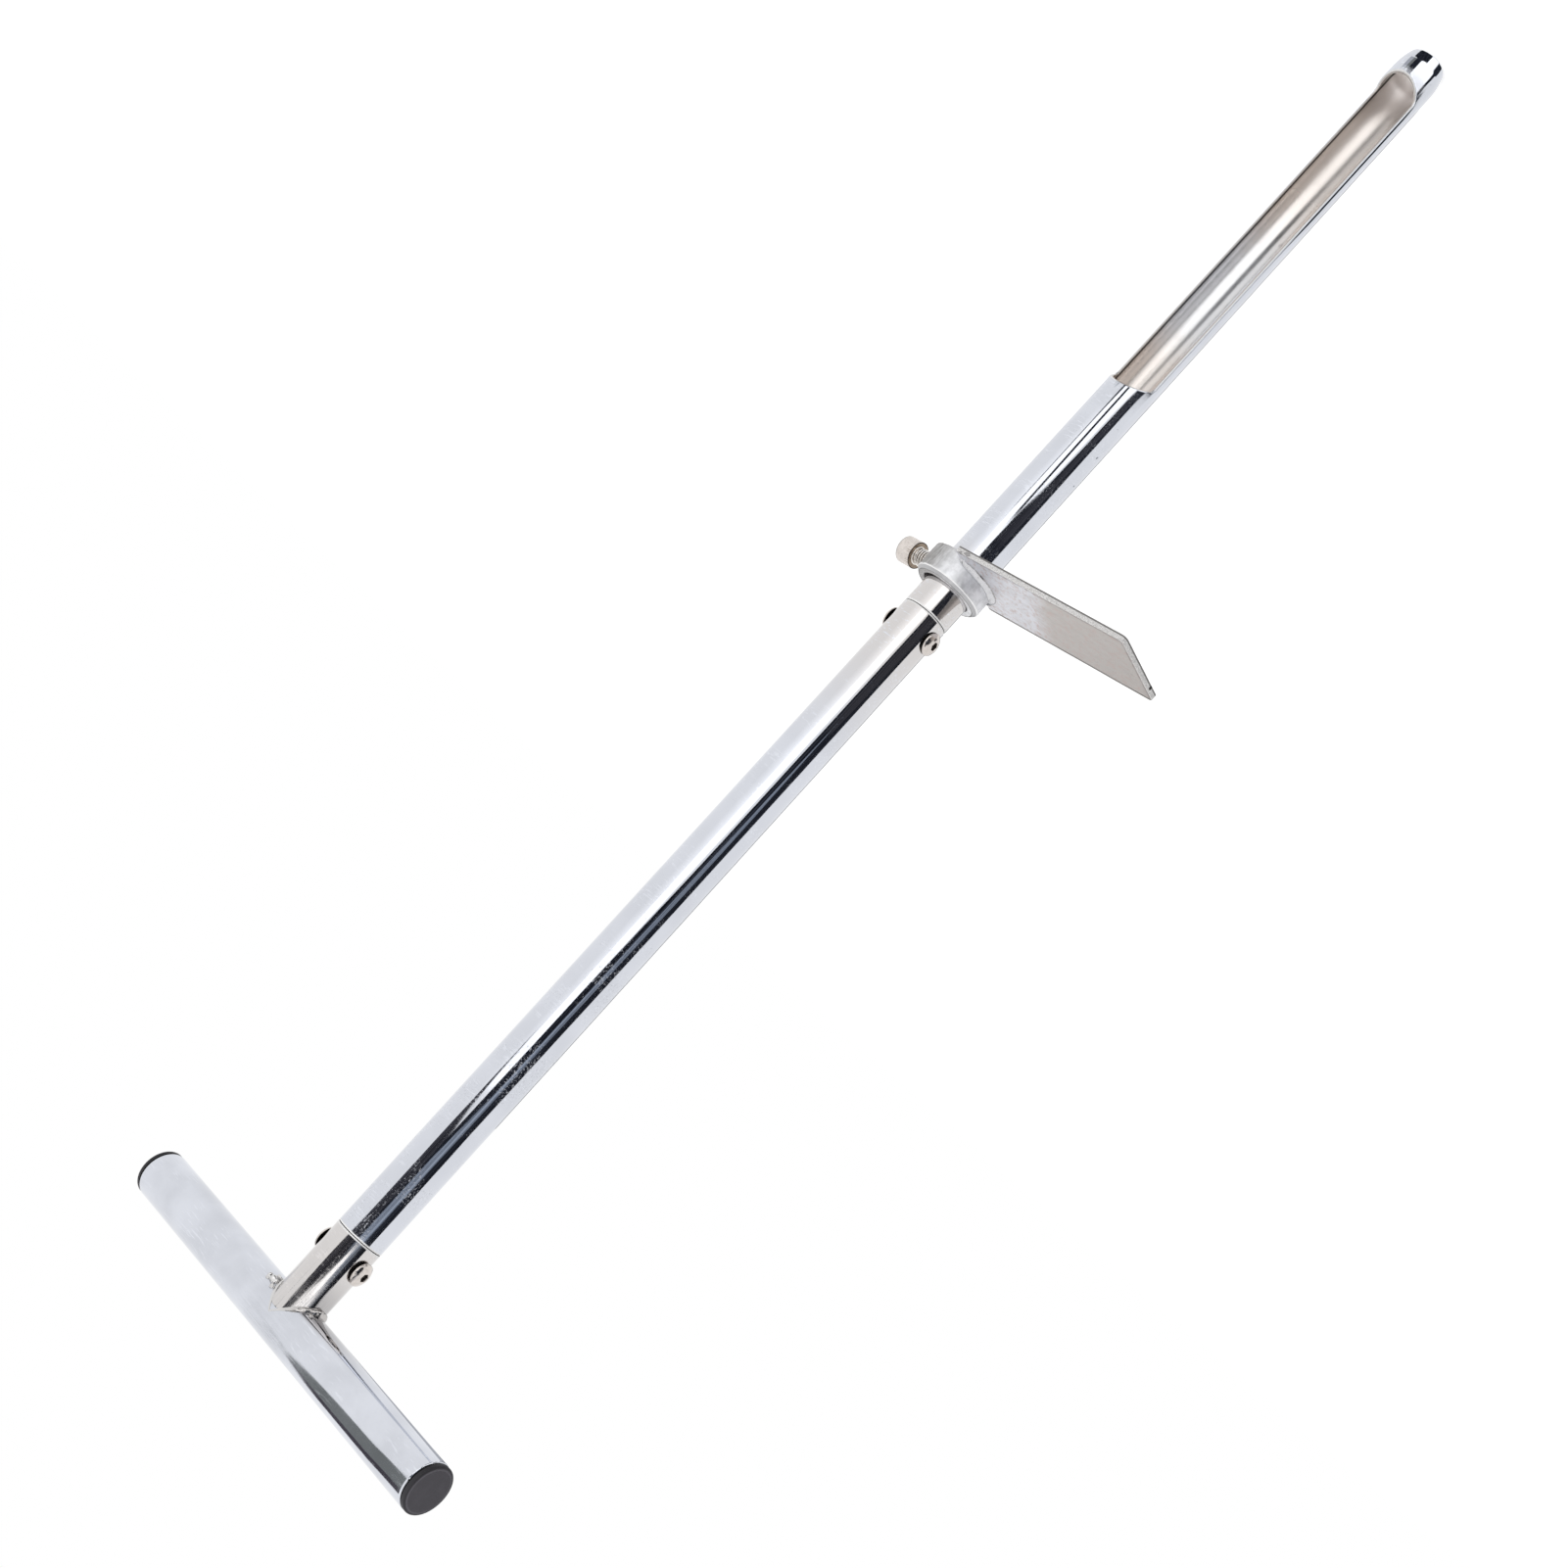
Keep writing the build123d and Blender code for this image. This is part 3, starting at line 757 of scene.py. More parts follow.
def cap_plastic():
    """Black plastic with a fine moulded grain. The side is painted darker than the flat face as
    shade, the face's rounded edge has a painted highlight ring, and the flange is painted black
    as shade where it meets the bar.
    """
    gap, side, face = (0.004, 0.004, 0.004), (0.046, 0.045, 0.050), (0.095, 0.091, 0.103)
    s = Surface("moulded_cap", face, metallic=0.0)
    s.shader.inputs["Specular IOR Level"].default_value = 0.08
    grain = s.grain(0.25, detail=4, gain=0.6)
    rub = s.steps(s.grain(5.0, detail=5), 0.4, 0.8)
    across = s.apart(s.axis(1), s.plus(s.axis(2), -BAR_HEIGHT))
    out = s.math("ABSOLUTE", s.axis(0))
    s.mottle(rub, 0.95, 1.1)
    # A lighter ring is painted where the face rounds over, as a highlight.
    s.paint(s.band(across, CAP_FACE_R - 0.3, CAP_FACE_R + 0.2, 0.25), shade(face, 1.9), 0.5)
    # The side is painted darker than the face, as shade.
    s.paint(s.steps(across, CAP_FACE_R + 0.4, CAP_FACE_R + 0.8), side)
    # Painted black shade where the flange meets the bar end.
    s.paint(s.steps(out, BAR_HALF + 0.9, BAR_HALF + 0.6), gap)
    rough = s.steps(across, CAP_FACE_R + 0.9, CAP_FACE_R + 0.4, 0.4, 0.55)
    return s.finish(s.plus(rough, s.times(rub, 0.06)), (grain, 0.006))


extension_chrome = chrome(
    "extension_chrome", COOL_CHROME, 2, warm=(490.0, 400.0), screws=LOWER_SCREWS,
    seams=(LOWER_JOINT, UPPER_JOINT), dusty=(520.0, 640.0),
)
sampling_chrome = chrome(
    "sampling_chrome", COOL_CHROME, 2, warm=(345.0, 375.0), seams=(LOWER_JOINT,), dusty=(0.0, 700.0)
)
# The bar's underside beside the stem is painted grey as shade.
bar_chrome = chrome(
    "bar_chrome", COOL_CHROME, 0, haze=(0, 26.0, 8.0, 0.10), cloudy=0.07, wavy=0.003,
    weld_shade=((0, 70.0, 14.0), (0, 4.0, 10.0), (2, BAR_HEIGHT - 7.5, BAR_HEIGHT - 12.0)),
)
# The stem's front strip near the weld is painted grey as shade.
stem_chrome = chrome(
    "stem_chrome", WARM_CHROME, 2, haze=(2, 800.0, 829.0, 0.12), screws=UPPER_SCREWS,
    seams=(UPPER_JOINT,), weld_shade=((2, BAR_HEIGHT - 35.0, BAR_HEIGHT - 12.0), (0, 10.3, 11.8)),
)
bore_metal = satin_bore()
edge_metal = cut_edge()
handle_weld_metal = weld_metal(
    "handle_weld_metal", (0.74, 0.73, 0.725), 0.35, 0.35, clean=BAR_HEIGHT - 6.0
)
footrest_weld_metal = weld_metal(
    "footrest_weld_metal", (0.64, 0.64, 0.66), 0.3, 0.2, foot=(COLLAR_R + 0.3, COLLAR_R + 2.3)
)
collar_metal = cast_collar()
plate_metal = step_plate()
screw_metal = joint_screw_nickel()
clamp_metal = clamp_screw_nickel()
socket_shade_metal = socket_shade_nickel()
cap_metal = cap_plastic()
spigot_metal = spigot_steel()


# Plain tubes

def tube_wall(bm, bottom, top, heights=()):
    """Tube on the Z axis with rounded ends. Returns its rings."""
    corners = [
        (TUBE_R, bottom, END_ROUND),
        (TUBE_R, top, END_ROUND),
        (BORE_R, top, BORE_END_ROUND),
        (BORE_R, bottom, BORE_END_ROUND),
    ]
    return lathe(bm, divided(rounded(corners), heights), AROUND, wrap=True)


def screw_holes(bm, rings, height):
    """The two opposite cross holes of a joint."""
    ends = (SCREW_AZIMUTH, SCREW_AZIMUTH + pi)
    drill(bm, rings, ends, height, HOLE_REACH, ((TUBE_R, TUBE_HOLE_R), (BORE_R, TUBE_HOLE_R)))


def make_handle_bar():
    bm = bmesh.new()
    tube_wall(bm, -BAR_HALF, BAR_HALF)
    finish_piece("handle_bar_tube", bm, "probe", [bar_chrome], ["handle_bar"], along_bar())


def make_extension_tube():
    bm = bmesh.new()
    rings = tube_wall(bm, LOWER_JOINT, UPPER_JOINT, hole_heights(LOWER_SCREWS, HOLE_REACH))
    screw_holes(bm, rings, LOWER_SCREWS)
    finish_piece("extension_tube_wall", bm, "probe", [extension_chrome], ["extension_tube"])


def bar_underside(y):
    """Height of the bar's surface above a point at that distance from the bar's mid plane."""
    return BAR_HEIGHT - sqrt(max(0.0, TUBE_R ** 2 - y ** 2))


def make_handle_stem():
    """Stub tube under the bar, its top drawn up to a fish mouth."""
    bm = bmesh.new()
    rings = tube_wall(bm, UPPER_JOINT, BAR_HEIGHT, hole_heights(UPPER_SCREWS, HOLE_REACH))
    screw_holes(bm, rings, UPPER_SCREWS)
    straight = UPPER_SCREWS + HOLE_REACH + 2.0
    for v in bm.verts:
        if v.co.z > straight:
            top = min(bar_underside(v.co.y), STEM_TOP)
            v.co.z = straight + (v.co.z - straight) * (top - straight) / (BAR_HEIGHT - straight)
    finish_piece("handle_stem_tube", bm, "probe", [stem_chrome], ["handle_stem"])


# Sampling tube

TAPER_DROP = TUBE_R - TIP_R
TAPER_RUN = MOUTH_TAPER - MOUTH_BEVEL
TAPER_ARC_R = (TAPER_DROP ** 2 + TAPER_RUN ** 2) / (2 * TAPER_DROP)
FILLET_REACH = WINDOW_CORNER_R * tan((pi / 2 - WINDOW_SLOPE) / 2)
FULL_RUN = (TUBE_R - WINDOW_FLOOR) * tan(WINDOW_SLOPE)      # end slope, measured along the tube
FILLET_END = FULL_RUN + FILLET_REACH
FILLET_DEPTH = WINDOW_FLOOR + FILLET_REACH * cos(WINDOW_SLOPE)
ROLL_STEPS = 4
WINDOW_FACING = Vector((cos(WINDOW_AZIMUTH), sin(WINDOW_AZIMUTH)))
OUTSIDE, BORE, CUT = 0, 1, 2       # material indices
# (place, half sizes, material index) of small beads of plating on the tube
NODULES = [
    ((-0.5, -10.9, 122.3), (0.8, 0.6, 1.0), BORE),
    ((12.62, -0.95, 276.5), (0.35, 0.55, 1.3), OUTSIDE),
    ((12.43, -2.5, 294.9), (0.3, 0.4, 0.7), OUTSIDE),
]


def outer_radius(z):
    """Outside of the sampling tube, drawn in towards the mouth."""
    if z < MOUTH_BEVEL:
        return TIP_R - MOUTH_BEVEL + z
    if z < MOUTH_TAPER:
        return TUBE_R - TAPER_ARC_R + sqrt(TAPER_ARC_R ** 2 - (MOUTH_TAPER - z) ** 2)
    return TUBE_R


def inner_radius(z):
    """Bore of the sampling tube, straight at the mouth and opening out above."""
    return MOUTH_R + (BORE_R - MOUTH_R) * ramp(z, MOUTH_LAND, MOUTH_TAPER)


def run_to(depth):
    """Distance from a window end to where the cut is this far from the axis."""
    if depth >= FILLET_DEPTH:
        return (TUBE_R - depth) * tan(WINDOW_SLOPE)
    drop = WINDOW_FLOOR + WINDOW_CORNER_R - depth
    return FILLET_END - sqrt(max(0.0, WINDOW_CORNER_R ** 2 - drop ** 2))


def window_rows():
    """(distance from a window end, depth of the cut from the axis) along one end slope."""
    depths = {BORE_R, WINDOW_FLOOR}
    for radius, steps in ((TUBE_R, 24), (BORE_R, 14)):
        last = acos(WINDOW_FLOOR / radius)
        depths |= {radius * cos(last * k / steps) for k in range(steps + 1)}
    rows, closest = [], 0.03
    for depth in sorted(depths, reverse=True):
        run = run_to(depth)
        if rows and run - rows[-1][0] < closest:
            if depth == BORE_R:
                rows[-1] = (run, depth)
            continue
        rows.append((run, depth))
    return rows


def sampling_rows():
    """(height, depth of the window's cut or None) up the whole tube."""
    taper_steps, window_steps, upper_steps = 14, 34, 20
    rows = [(0.0, None), (0.3, None)]
    rows += [(MOUTH_BEVEL + TAPER_RUN * k / taper_steps, None) for k in range(taper_steps + 1)]
    rows.append((0.5 * (MOUTH_TAPER + WINDOW_BOTTOM), None))
    slope = window_rows()
    rows += [(WINDOW_BOTTOM + run, depth) for run, depth in slope]
    low = WINDOW_BOTTOM + FILLET_END
    high = WINDOW_TOP - FILLET_END
    rows += [(low + (high - low) * k / window_steps, WINDOW_FLOOR) for k in range(1, window_steps)]
    rows += [(WINDOW_TOP - run, depth) for run, depth in reversed(slope)]
    length = LOWER_JOINT - WINDOW_TOP - 1.0
    rows += [(WINDOW_TOP + length * k / upper_steps, None) for k in range(1, upper_steps + 1)]
    rows += [(LOWER_JOINT - END_ROUND, None), (LOWER_JOINT - 0.12, None), (LOWER_JOINT, None)]
    return rows


def window_row(bm, radius, z, depth, roll=0.0):
    """Vertices round one height, from one side of the window the long way to the other.

    roll is how far the window's edge is rounded over, minus for the bore's edge.
    """
    edge = acos(min(1.0, depth / radius)) if depth is not None else 0.0
    half_gap = radius * sin(edge)
    size = min(abs(roll), 0.4 * half_gap)
    steps = ROLL_STEPS if size > TOUCH else 0
    count = AROUND + 2 * (ROLL_STEPS - steps)
    start = edge + size / radius
    turns = [start + (2 * pi - 2 * start) * i / count for i in range(count + 1)]
    flat = [Vector((radius * cos(a), radius * sin(a))) for a in turns]
    first, last = [], []
    for k in range(steps):
        t = k / steps
        for side, wall, arc in ((1, flat[0], first), (-1, flat[-1], last)):
            corner = Vector((depth, side * half_gap))
            inside = corner - Vector((0, side * copysign(size, roll)))
            arc.append(inside * (1 - t) ** 2 + corner * 2 * t * (1 - t) + wall * t ** 2)
    flat = first + flat + last[::-1]
    if edge < TOUCH:
        flat.pop()
    aim = Matrix.Rotation(WINDOW_AZIMUTH, 2)
    row = [bm.verts.new((*(aim @ point), z)) for point in flat]
    return row if edge > TOUCH else row + row[:1]


def cut_face(bm, rows, low, high):
    """The cut face of the window's rim between two heights."""
    (low_out, low_in), (high_out, high_in) = rows[low], rows[high]
    split = [row[0] is not row[-1] for row in (low_in, high_in)]
    if any(split):
        for end in (0, -1):
            loop = [low_out[end], high_out[end], high_in[end], low_in[end]]
            bm.faces.new(list(dict.fromkeys(loop))).material_index = CUT
        return
    loop = [low_out[0], high_out[0]]
    for outside, inside in ((high_out, high_in), (low_out, low_in)):
        touching = abs(hypot(*inside[0].co.xy) - outside[0].co.xy.dot(WINDOW_FACING)) < TOUCH
        pair = [outside[0], outside[-1]] if outside is high_out else [outside[-1], outside[0]]
        if touching:
            pair.insert(1, inside[0])
        loop += pair
    bm.faces.new(list(dict.fromkeys(loop))).material_index = CUT


def make_sampling_tube():
    """Tube with a drawn-in mouth and a long side window; outside, bore and cut differ in finish."""
    bm = bmesh.new()
    rows = []
    for z, depth in sampling_rows():
        outer = outer_radius(z)
        if z > LOWER_JOINT - END_ROUND:
            outer -= END_ROUND - sqrt(END_ROUND ** 2 - (z - LOWER_JOINT + END_ROUND) ** 2)
        outside = window_row(bm, outer, z, depth, WINDOW_ROLL)
        rows.append((outside, window_row(bm, inner_radius(z), z, depth, -WINDOW_ROLL)))
    for k in range(len(rows) - 1):
        (low_out, low_in), (high_out, high_in) = rows[k], rows[k + 1]
        strip(bm, low_out, high_out, OUTSIDE)
        strip(bm, low_in, high_in, BORE)
        if low_out[0] is not low_out[-1] or high_out[0] is not high_out[-1]:
            cut_face(bm, rows, k, k + 1)
    strip(bm, *rows[0], OUTSIDE)
    strip(bm, *rows[-1], OUTSIDE)
    for place, size, index in NODULES:
        blob(bm, place, size, 2.0, material=index)
    finish_piece(
        "sampling_tube_wall", bm, "probe",
        [sampling_chrome, bore_metal, edge_metal], ["sampling_tube"],
    )


# Handle weld

WELD_LEG = 2.6
FLUSH_WELD_LEG = 0.5       # where stem and bar are in line
# (centre, half sizes, seed) of the lumps of spatter beside the handle weld
SPATTER = [
    ((-13.8, 8.5, 828.3), (2.4, 2.0, 2.2), 1.0),
    ((-17.0, 9.0, 828.8), (1.4, 1.5, 1.9), 5.0),
    ((-10.6, 10.3, 830.5), (1.5, 1.2, 1.3), 9.0),
    ((-14.2, 5.8, 826.5), (1.9, 1.2, 1.3), 11.0),
    ((15.6, 6.5, 826.8), (1.2, 1.0, 1.0), 13.0),
]


def clear_of_bar(point):
    """Move a point out of the bar, on to its surface."""
    across = hypot(point.y, point.z - BAR_HEIGHT)
    if across < TUBE_R + SEAT_GAP:
        factor = (TUBE_R + SEAT_GAP) / across
        point.y *= factor
        point.z = BAR_HEIGHT + (point.z - BAR_HEIGHT) * factor
    return point


def saddle(a):
    """Point of the line where the stem meets the bar, at an angle round the stem."""
    return Vector((TUBE_R * cos(a), TUBE_R * sin(a), BAR_HEIGHT - TUBE_R * abs(cos(a))))


def make_handle_weld():
    """Uneven fillet along the saddle line, lumpy in front, with spatter beside it."""
    bm = bmesh.new()
    around, section = 180, 12
    face_r = TUBE_R + SEAT_GAP
    rings = []
    for i in range(around):
        a = 2 * pi * i / around
        here = saddle(a)
        bar_turn = atan2(here.y, BAR_HEIGHT - here.z)
        out = (Vector((cos(a), sin(a), 0)) + Vector((0, sin(bar_turn), -cos(bar_turn)))).normalized()
        corner = abs(cos(a)) ** 1.5
        rugged = corner * (0.6 + 0.4 * cos(a))
        ripple = 0.12 * rugged * sin(15 * a + 2.5 * noise.noise(here * 0.3))
        lump = 0.8 * rugged * noise.noise(here * 0.42 + Vector((7, 1, 3)))
        leg = FLUSH_WELD_LEG + (WELD_LEG - FLUSH_WELD_LEG) * corner * (0.8 + 0.2 * cos(a)) + ripple + lump
        on_stem = Vector((face_r * cos(a), face_r * sin(a), here.z - leg))
        bar_turn += sin(a) * leg / TUBE_R
        below = face_r * cos(bar_turn)
        on_bar = Vector((here.x + cos(a) * leg, face_r * sin(bar_turn), BAR_HEIGHT - below))
        bulge = out * leg * (0.02 + 0.4 * rugged)
        ring = [bm.verts.new(here + out * 2 * SEAT_GAP)]
        for k in range(section + 1):
            t = k / section
            point = on_stem.lerp(on_bar, t)
            swell = 4 * t * (1 - t)
            rough = 0.45 * rugged * noise.noise(point * 0.6 + Vector((2, 4, 8)))
            ring.append(bm.verts.new(point + (bulge + out * rough) * swell))
        rings.append(ring)
    for ring, following in zip(rings, rings[1:] + rings[:1]):
        bridge(bm, ring, following)
    for centre, size, seed in SPATTER:
        blob(bm, centre, size, seed, clear_of_bar)
    finish_piece("handle_weld_bead", bm, "probe", [handle_weld_metal], ["handle_weld"])


# Screws and caps

def make_joint_screws():
    """Button-head socket screws of both joints, all from one shape."""
    head_r, shank_r, tip = SCREW_HEAD_R, SCREW_SHANK_R, -SCREW_SHANK_LENGTH
    tip_break, socket_mouth_r, socket_depth, dome_steps, around = 0.5, 2.75, 1.8, 14, 72
    rise = SCREW_HEAD_HEIGHT - SCREW_HEAD_RIM
    dome_r = (rise ** 2 + head_r ** 2) / (2 * rise)
    start, stop = asin((head_r - 0.12) / dome_r), asin(socket_mouth_r / dome_r)
    turns = [start + (stop - start) * k / dome_steps for k in range(dome_steps + 1)]
    dome = [(dome_r * sin(a), SCREW_HEAD_HEIGHT - dome_r * (1 - cos(a))) for a in turns]
    profile = [(0, tip), (shank_r - tip_break, tip), (shank_r, tip + tip_break), (shank_r, -0.1)]
    profile += [(shank_r, 0), (shank_r + 0.1, 0), (head_r - 0.25, 0), (head_r - 0.07, 0.05)]
    profile += [(head_r, 0.2), (head_r, SCREW_HEAD_RIM - 0.1)] + dome
    levels = (("upper", UPPER_SCREWS, UPPER_FRONT_LIFT), ("lower", LOWER_SCREWS, 0))
    for level, height, front_lift in levels:
        for end, azimuth, spin, lift in (
            ("front", SCREW_AZIMUTH, 0.35, front_lift), ("rear", SCREW_AZIMUTH + pi, 0.9, 0),
        ):
            bm = bmesh.new()
            rings = lathe(bm, profile, around)
            socket(bm, rings[-1], SCREW_HEX, profile[-1][1] + 0.08, socket_depth)
            seat = TUBE_R + SEAT_GAP + lift
            place = outward(azimuth, height) @ Matrix.Translation((0, 0, seat))
            finish_piece(
                f"{level}_{end}_button_screw", bm, "probe", [screw_metal, socket_shade_metal],
                [f"{level}_joint_screw_{end}"], place @ Matrix.Rotation(spin, 4, "Z"),
            )


def thread_radius(z, a, crest, depth, pitch):
    """Radius of a screw thread with flat crests and roots."""
    phase = (z / pitch - a / (2 * pi)) % 1.0
    flank = abs(2 * phase - 1)
    return crest - depth * ramp(flank, 0.14, 0.80)


def make_clamp_screw():
    """Socket-head screw with a real helical thread."""
    bm = bmesh.new()
    pitch, depth, count, per_turn = 1.5875, 0.95, 72, 14
    runout, plain_r, socket_depth = CLAMP_NECK - 1.3, CLAMP_R - 0.35, 4.0
    rings = [[bm.verts.new((0, 0, CLAMP_TIP))]]
    steps = int((runout - CLAMP_TIP) / pitch * per_turn)
    for k in range(steps + 1):
        z = CLAMP_TIP + (runout - CLAMP_TIP) * k / steps
        limit = CLAMP_R - depth + (z - CLAMP_TIP)
        ring = []
        for i in range(count):
            a = 2 * pi * i / count
            radius = min(limit, thread_radius(z, a, CLAMP_R, depth, pitch))
            fade = min(1.0, (runout - z) / pitch)
            radius = plain_r + (radius - plain_r) * fade
            ring.append(bm.verts.new((radius * cos(a), radius * sin(a), z)))
        rings.append(ring)
    for lower, upper in zip(rings, rings[1:]):
        bridge(bm, lower, upper)
    corners = [
        (plain_r, runout, 0),
        (plain_r, CLAMP_NECK, 0.35),
        (CLAMP_HEAD_R, CLAMP_NECK, 0.4),
        (CLAMP_HEAD_R, CLAMP_END, 0.75),
        (CLAMP_HEAD_R - 1.8, CLAMP_END, 0),
    ]
    profile = rounded(corners, closed=False)
    head = lathe(bm, profile[1:], count)
    bridge(bm, rings[-1], head[0])
    socket(bm, head[-1], CLAMP_HEX, CLAMP_END, socket_depth)
    finish_piece(
        "clamp_socket_screw", bm, "clamp_screw", [clamp_metal, socket_shade_metal],
        ["clamp_screw"], outward(pi, CLAMP_HEIGHT),
    )


def make_end_caps():
    """Plastic plugs with a rounded flange and a hollow stem inside the bar."""
    flange_r, flange_h, plug_r, plug_l, wall = 12.5, 3.0, 10.95, 14.0, 2.0
    corners = [
        (0, flange_h, 0),
        (CAP_FACE_R, flange_h, 0.08),
        (CAP_FACE_R + 0.15, flange_h - 0.1, 0.08),
        (flange_r, flange_h - 0.12, 0.9),
        (flange_r, 0.05, 0.2),
        (plug_r, 0.05, 0.1),
        (plug_r, -plug_l, 0.5),
        (plug_r - wall, -plug_l, 0.3),
        (plug_r - wall, -0.6, 0.4),
        (0, -0.6, 0),
    ]
    profile = rounded(corners, closed=False)
    for end, side in (("front", 1), ("rear", -1)):
        bm = bmesh.new()
        lathe(bm, profile, AROUND)
        place = along_bar(side) @ Matrix.Translation((0, 0, BAR_HALF))
        finish_piece(f"{end}_cap_plug", bm, "probe", [cap_metal], [f"end_cap_{end}"], place)


# Footrest

def make_collar():
    """Rough ring with a chamfered top and a cross hole for the clamp screw."""
    bm = bmesh.new()
    chamfer, reach, lift = 1.7, 5.2, 0.25
    corners = [
        (COLLAR_R, COLLAR_BOTTOM, 0.4),
        (COLLAR_R, COLLAR_TOP - chamfer, 0.25),
        (COLLAR_R - chamfer, COLLAR_TOP, 0.25),
        (COLLAR_BORE_R, COLLAR_TOP, 0.5),
        (COLLAR_BORE_R, COLLAR_BOTTOM, 0.4),
    ]
    heights = hole_heights(CLAMP_HEIGHT + lift, reach)
    rings = lathe(bm, divided(rounded(corners), heights, 0.7), AROUND, wrap=True)
    sizes = ((COLLAR_R, CLAMP_R + 0.1), (COLLAR_BORE_R, CLAMP_R + 0.05))
    drill(bm, rings, (pi,), CLAMP_HEIGHT, reach, sizes, lift)
    bm.transform(Matrix.Translation((COLLAR_X, 0, 0)))
    roughen(bm, 0.10, 3.0, 4.0)
    finish_piece(
        "footrest_collar_ring", bm, "footrest", [collar_metal], ["footrest_collar"]
    )


NOTCH_R = COLLAR_R + 0.05  # just clear of the ring
EAR_CORNER_R = 1.2


def corner_cut(side, corner):
    """How much a rounded corner takes off the plate's end at that distance from its middle line."""
    past = max(0.0, side - (PLATE_HALF_WIDTH - corner))
    return corner - sqrt(max(0.0, corner ** 2 - past ** 2))


def plate_ends(y):
    """Where the plate starts and ends along X at that distance from its middle line."""
    side = abs(y)
    start = PLATE_EAR
    if side < NOTCH_R:
        start = max(start, COLLAR_X + sqrt(NOTCH_R ** 2 - side ** 2))
    return start + corner_cut(side, EAR_CORNER_R), PLATE_REACH - corner_cut(side, PLATE_CORNER_R)


def plate_lines():
    """Distances across the plate at which the lines of its mesh run, closer at the corners."""
    half = [PLATE_HALF_WIDTH - PLATE_CORNER_R * (1 - sin(pi / 2 * k / 8)) for k in range(9)]
    half += [PLATE_HALF_WIDTH - EAR_CORNER_R * (1 - sin(pi / 2 * k / 5)) for k in range(5)]
    notch_edge = sqrt(NOTCH_R ** 2 - (PLATE_EAR - COLLAR_X) ** 2)
    ear_middle, closest = 19.5, 0.02
    half += [notch_edge * k / 14 for k in range(15)] + [ear_middle]
    half = sorted(half)
    kept = [half[0]]
    for y in half[1:]:
        if y - kept[-1] > closest:
            kept.append(y)
    return [-y for y in reversed(kept[1:])] + kept


def make_plate():
    """Flat step, slightly wavy and uneven at its sheared edges, notched round the collar."""
    bm = bmesh.new()
    along = 60
    stiff_to, wavy_from, ragged_from = 20.0, 28.0, 22.0
    faces = []
    lines = plate_lines()
    for z in (PLATE_TOP, COLLAR_BOTTOM):
        grid = []
        for y in lines:
            start, end = plate_ends(y)
            row = []
            for k in range(along + 1):
                x = start + (end - start) * k / along
                place = Vector((x, y, z))
                wave = 0.05 * noise.noise(place * 0.07) + 0.02 * noise.noise(place * 0.35)
                inset = 0.10 * max(0.0, noise.noise(place * 0.3 + Vector((3, 5, 0))))
                free = ramp(x, stiff_to, wavy_from)
                x_move = -inset * ramp(k / along, 0.97, 1.0)
                y_move = -inset * copysign(ramp(abs(y), ragged_from, PLATE_HALF_WIDTH), y)
                row.append(bm.verts.new((x + x_move, y + y_move, z + (wave - 0.03) * free)))
            grid.append(row)
        for near, far in zip(grid, grid[1:]):
            strip(bm, near, far)
        faces.append(grid)
    top, bottom = faces
    for end in (0, -1):
        strip(bm, top[end], bottom[end])
        strip(bm, [row[end] for row in top], [row[end] for row in bottom])
    piece = finish_piece(
        "footrest_step_plate", bm, "footrest", [plate_metal], ["footrest_plate"]
    )
    soften_edges(piece, 0.5)


# (centre, half sizes, seed) of the lumps on the near edge of the plate
EAR_SPATTER = [
    ((14.6, 24.5, 363.0), (2.1, 0.7, 1.1), 3.0),
    ((10.6, 24.1, 363.7), (1.6, 0.8, 0.7), 7.0),
]


def make_footrest_weld():
    """Uneven fillet bead in the corner between plate and collar, with rounded ends."""
    bm = bmesh.new()
    heel = COLLAR_R + SEAT_GAP
    leg, stop = 2.6, 0.8
    half = acos((PLATE_EAR + stop - COLLAR_X) / (heel + leg))
    steps, section = 96, 12
    rings = []
    for i in range(steps + 1):
        t = 2 * i / steps - 1
        a = half * t
        swell = sqrt(max(0.02, 1 - t ** 6))
        bead = 1 + 0.015 * sin(60 * t) + 0.10 * noise.noise(Vector((5 * t, 3.3, 1.7)))
        size = leg * swell * bead
        ring = []
        outline = [(0.0, 0.0), (0.5 * size, 0.0)]
        for k in range(section + 1):
            turn = pi / 2 * k / section
            bulge = 1 - 0.16 * sin(2 * turn) + 0.03 * noise.noise(Vector((16 * t, 3 * turn, 0)))
            outline.append((size * bulge * cos(turn), size * bulge * sin(turn)))
        outline.append((0.0, 0.5 * size))
        for out, up in outline:
            radius = heel + out
            z = PLATE_TOP + SEAT_GAP + up
            ring.append(bm.verts.new((COLLAR_X + radius * cos(a), radius * sin(a), z)))
        rings.append(ring)
    for ring, following in zip(rings, rings[1:]):
        bridge(bm, ring, following)
    bm.faces.new(rings[0])
    bm.faces.new(rings[-1])
    for centre, size, seed in EAR_SPATTER:
        blob(bm, centre, size, seed)
    finish_piece(
        "footrest_weld_bead", bm, "footrest", [footrest_weld_metal], ["footrest_weld"]
    )


make_handle_bar()
make_handle_stem()
make_handle_weld()
make_end_caps()
make_extension_tube()
make_sampling_tube()
make_joint_screws()
make_clamp_screw()
make_collar()
make_plate()
make_footrest_weld()
for node in ("upper_spigot", "lower_spigot"):
    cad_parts[node].data.materials[0] = spigot_metal


# Camera

CAMERA_AT = Vector((0.71088, 0.82946, 0.67170))
CAMERA_RIGHT = Vector((0.63146, -0.39992, -0.66432))
CAMERA_UP = Vector((-0.43773, 0.52332, -0.73112))
CAMERA_BACK = Vector((0.64004, 0.75246, 0.15540))
SENSOR = 36.0
LENS = 53.04

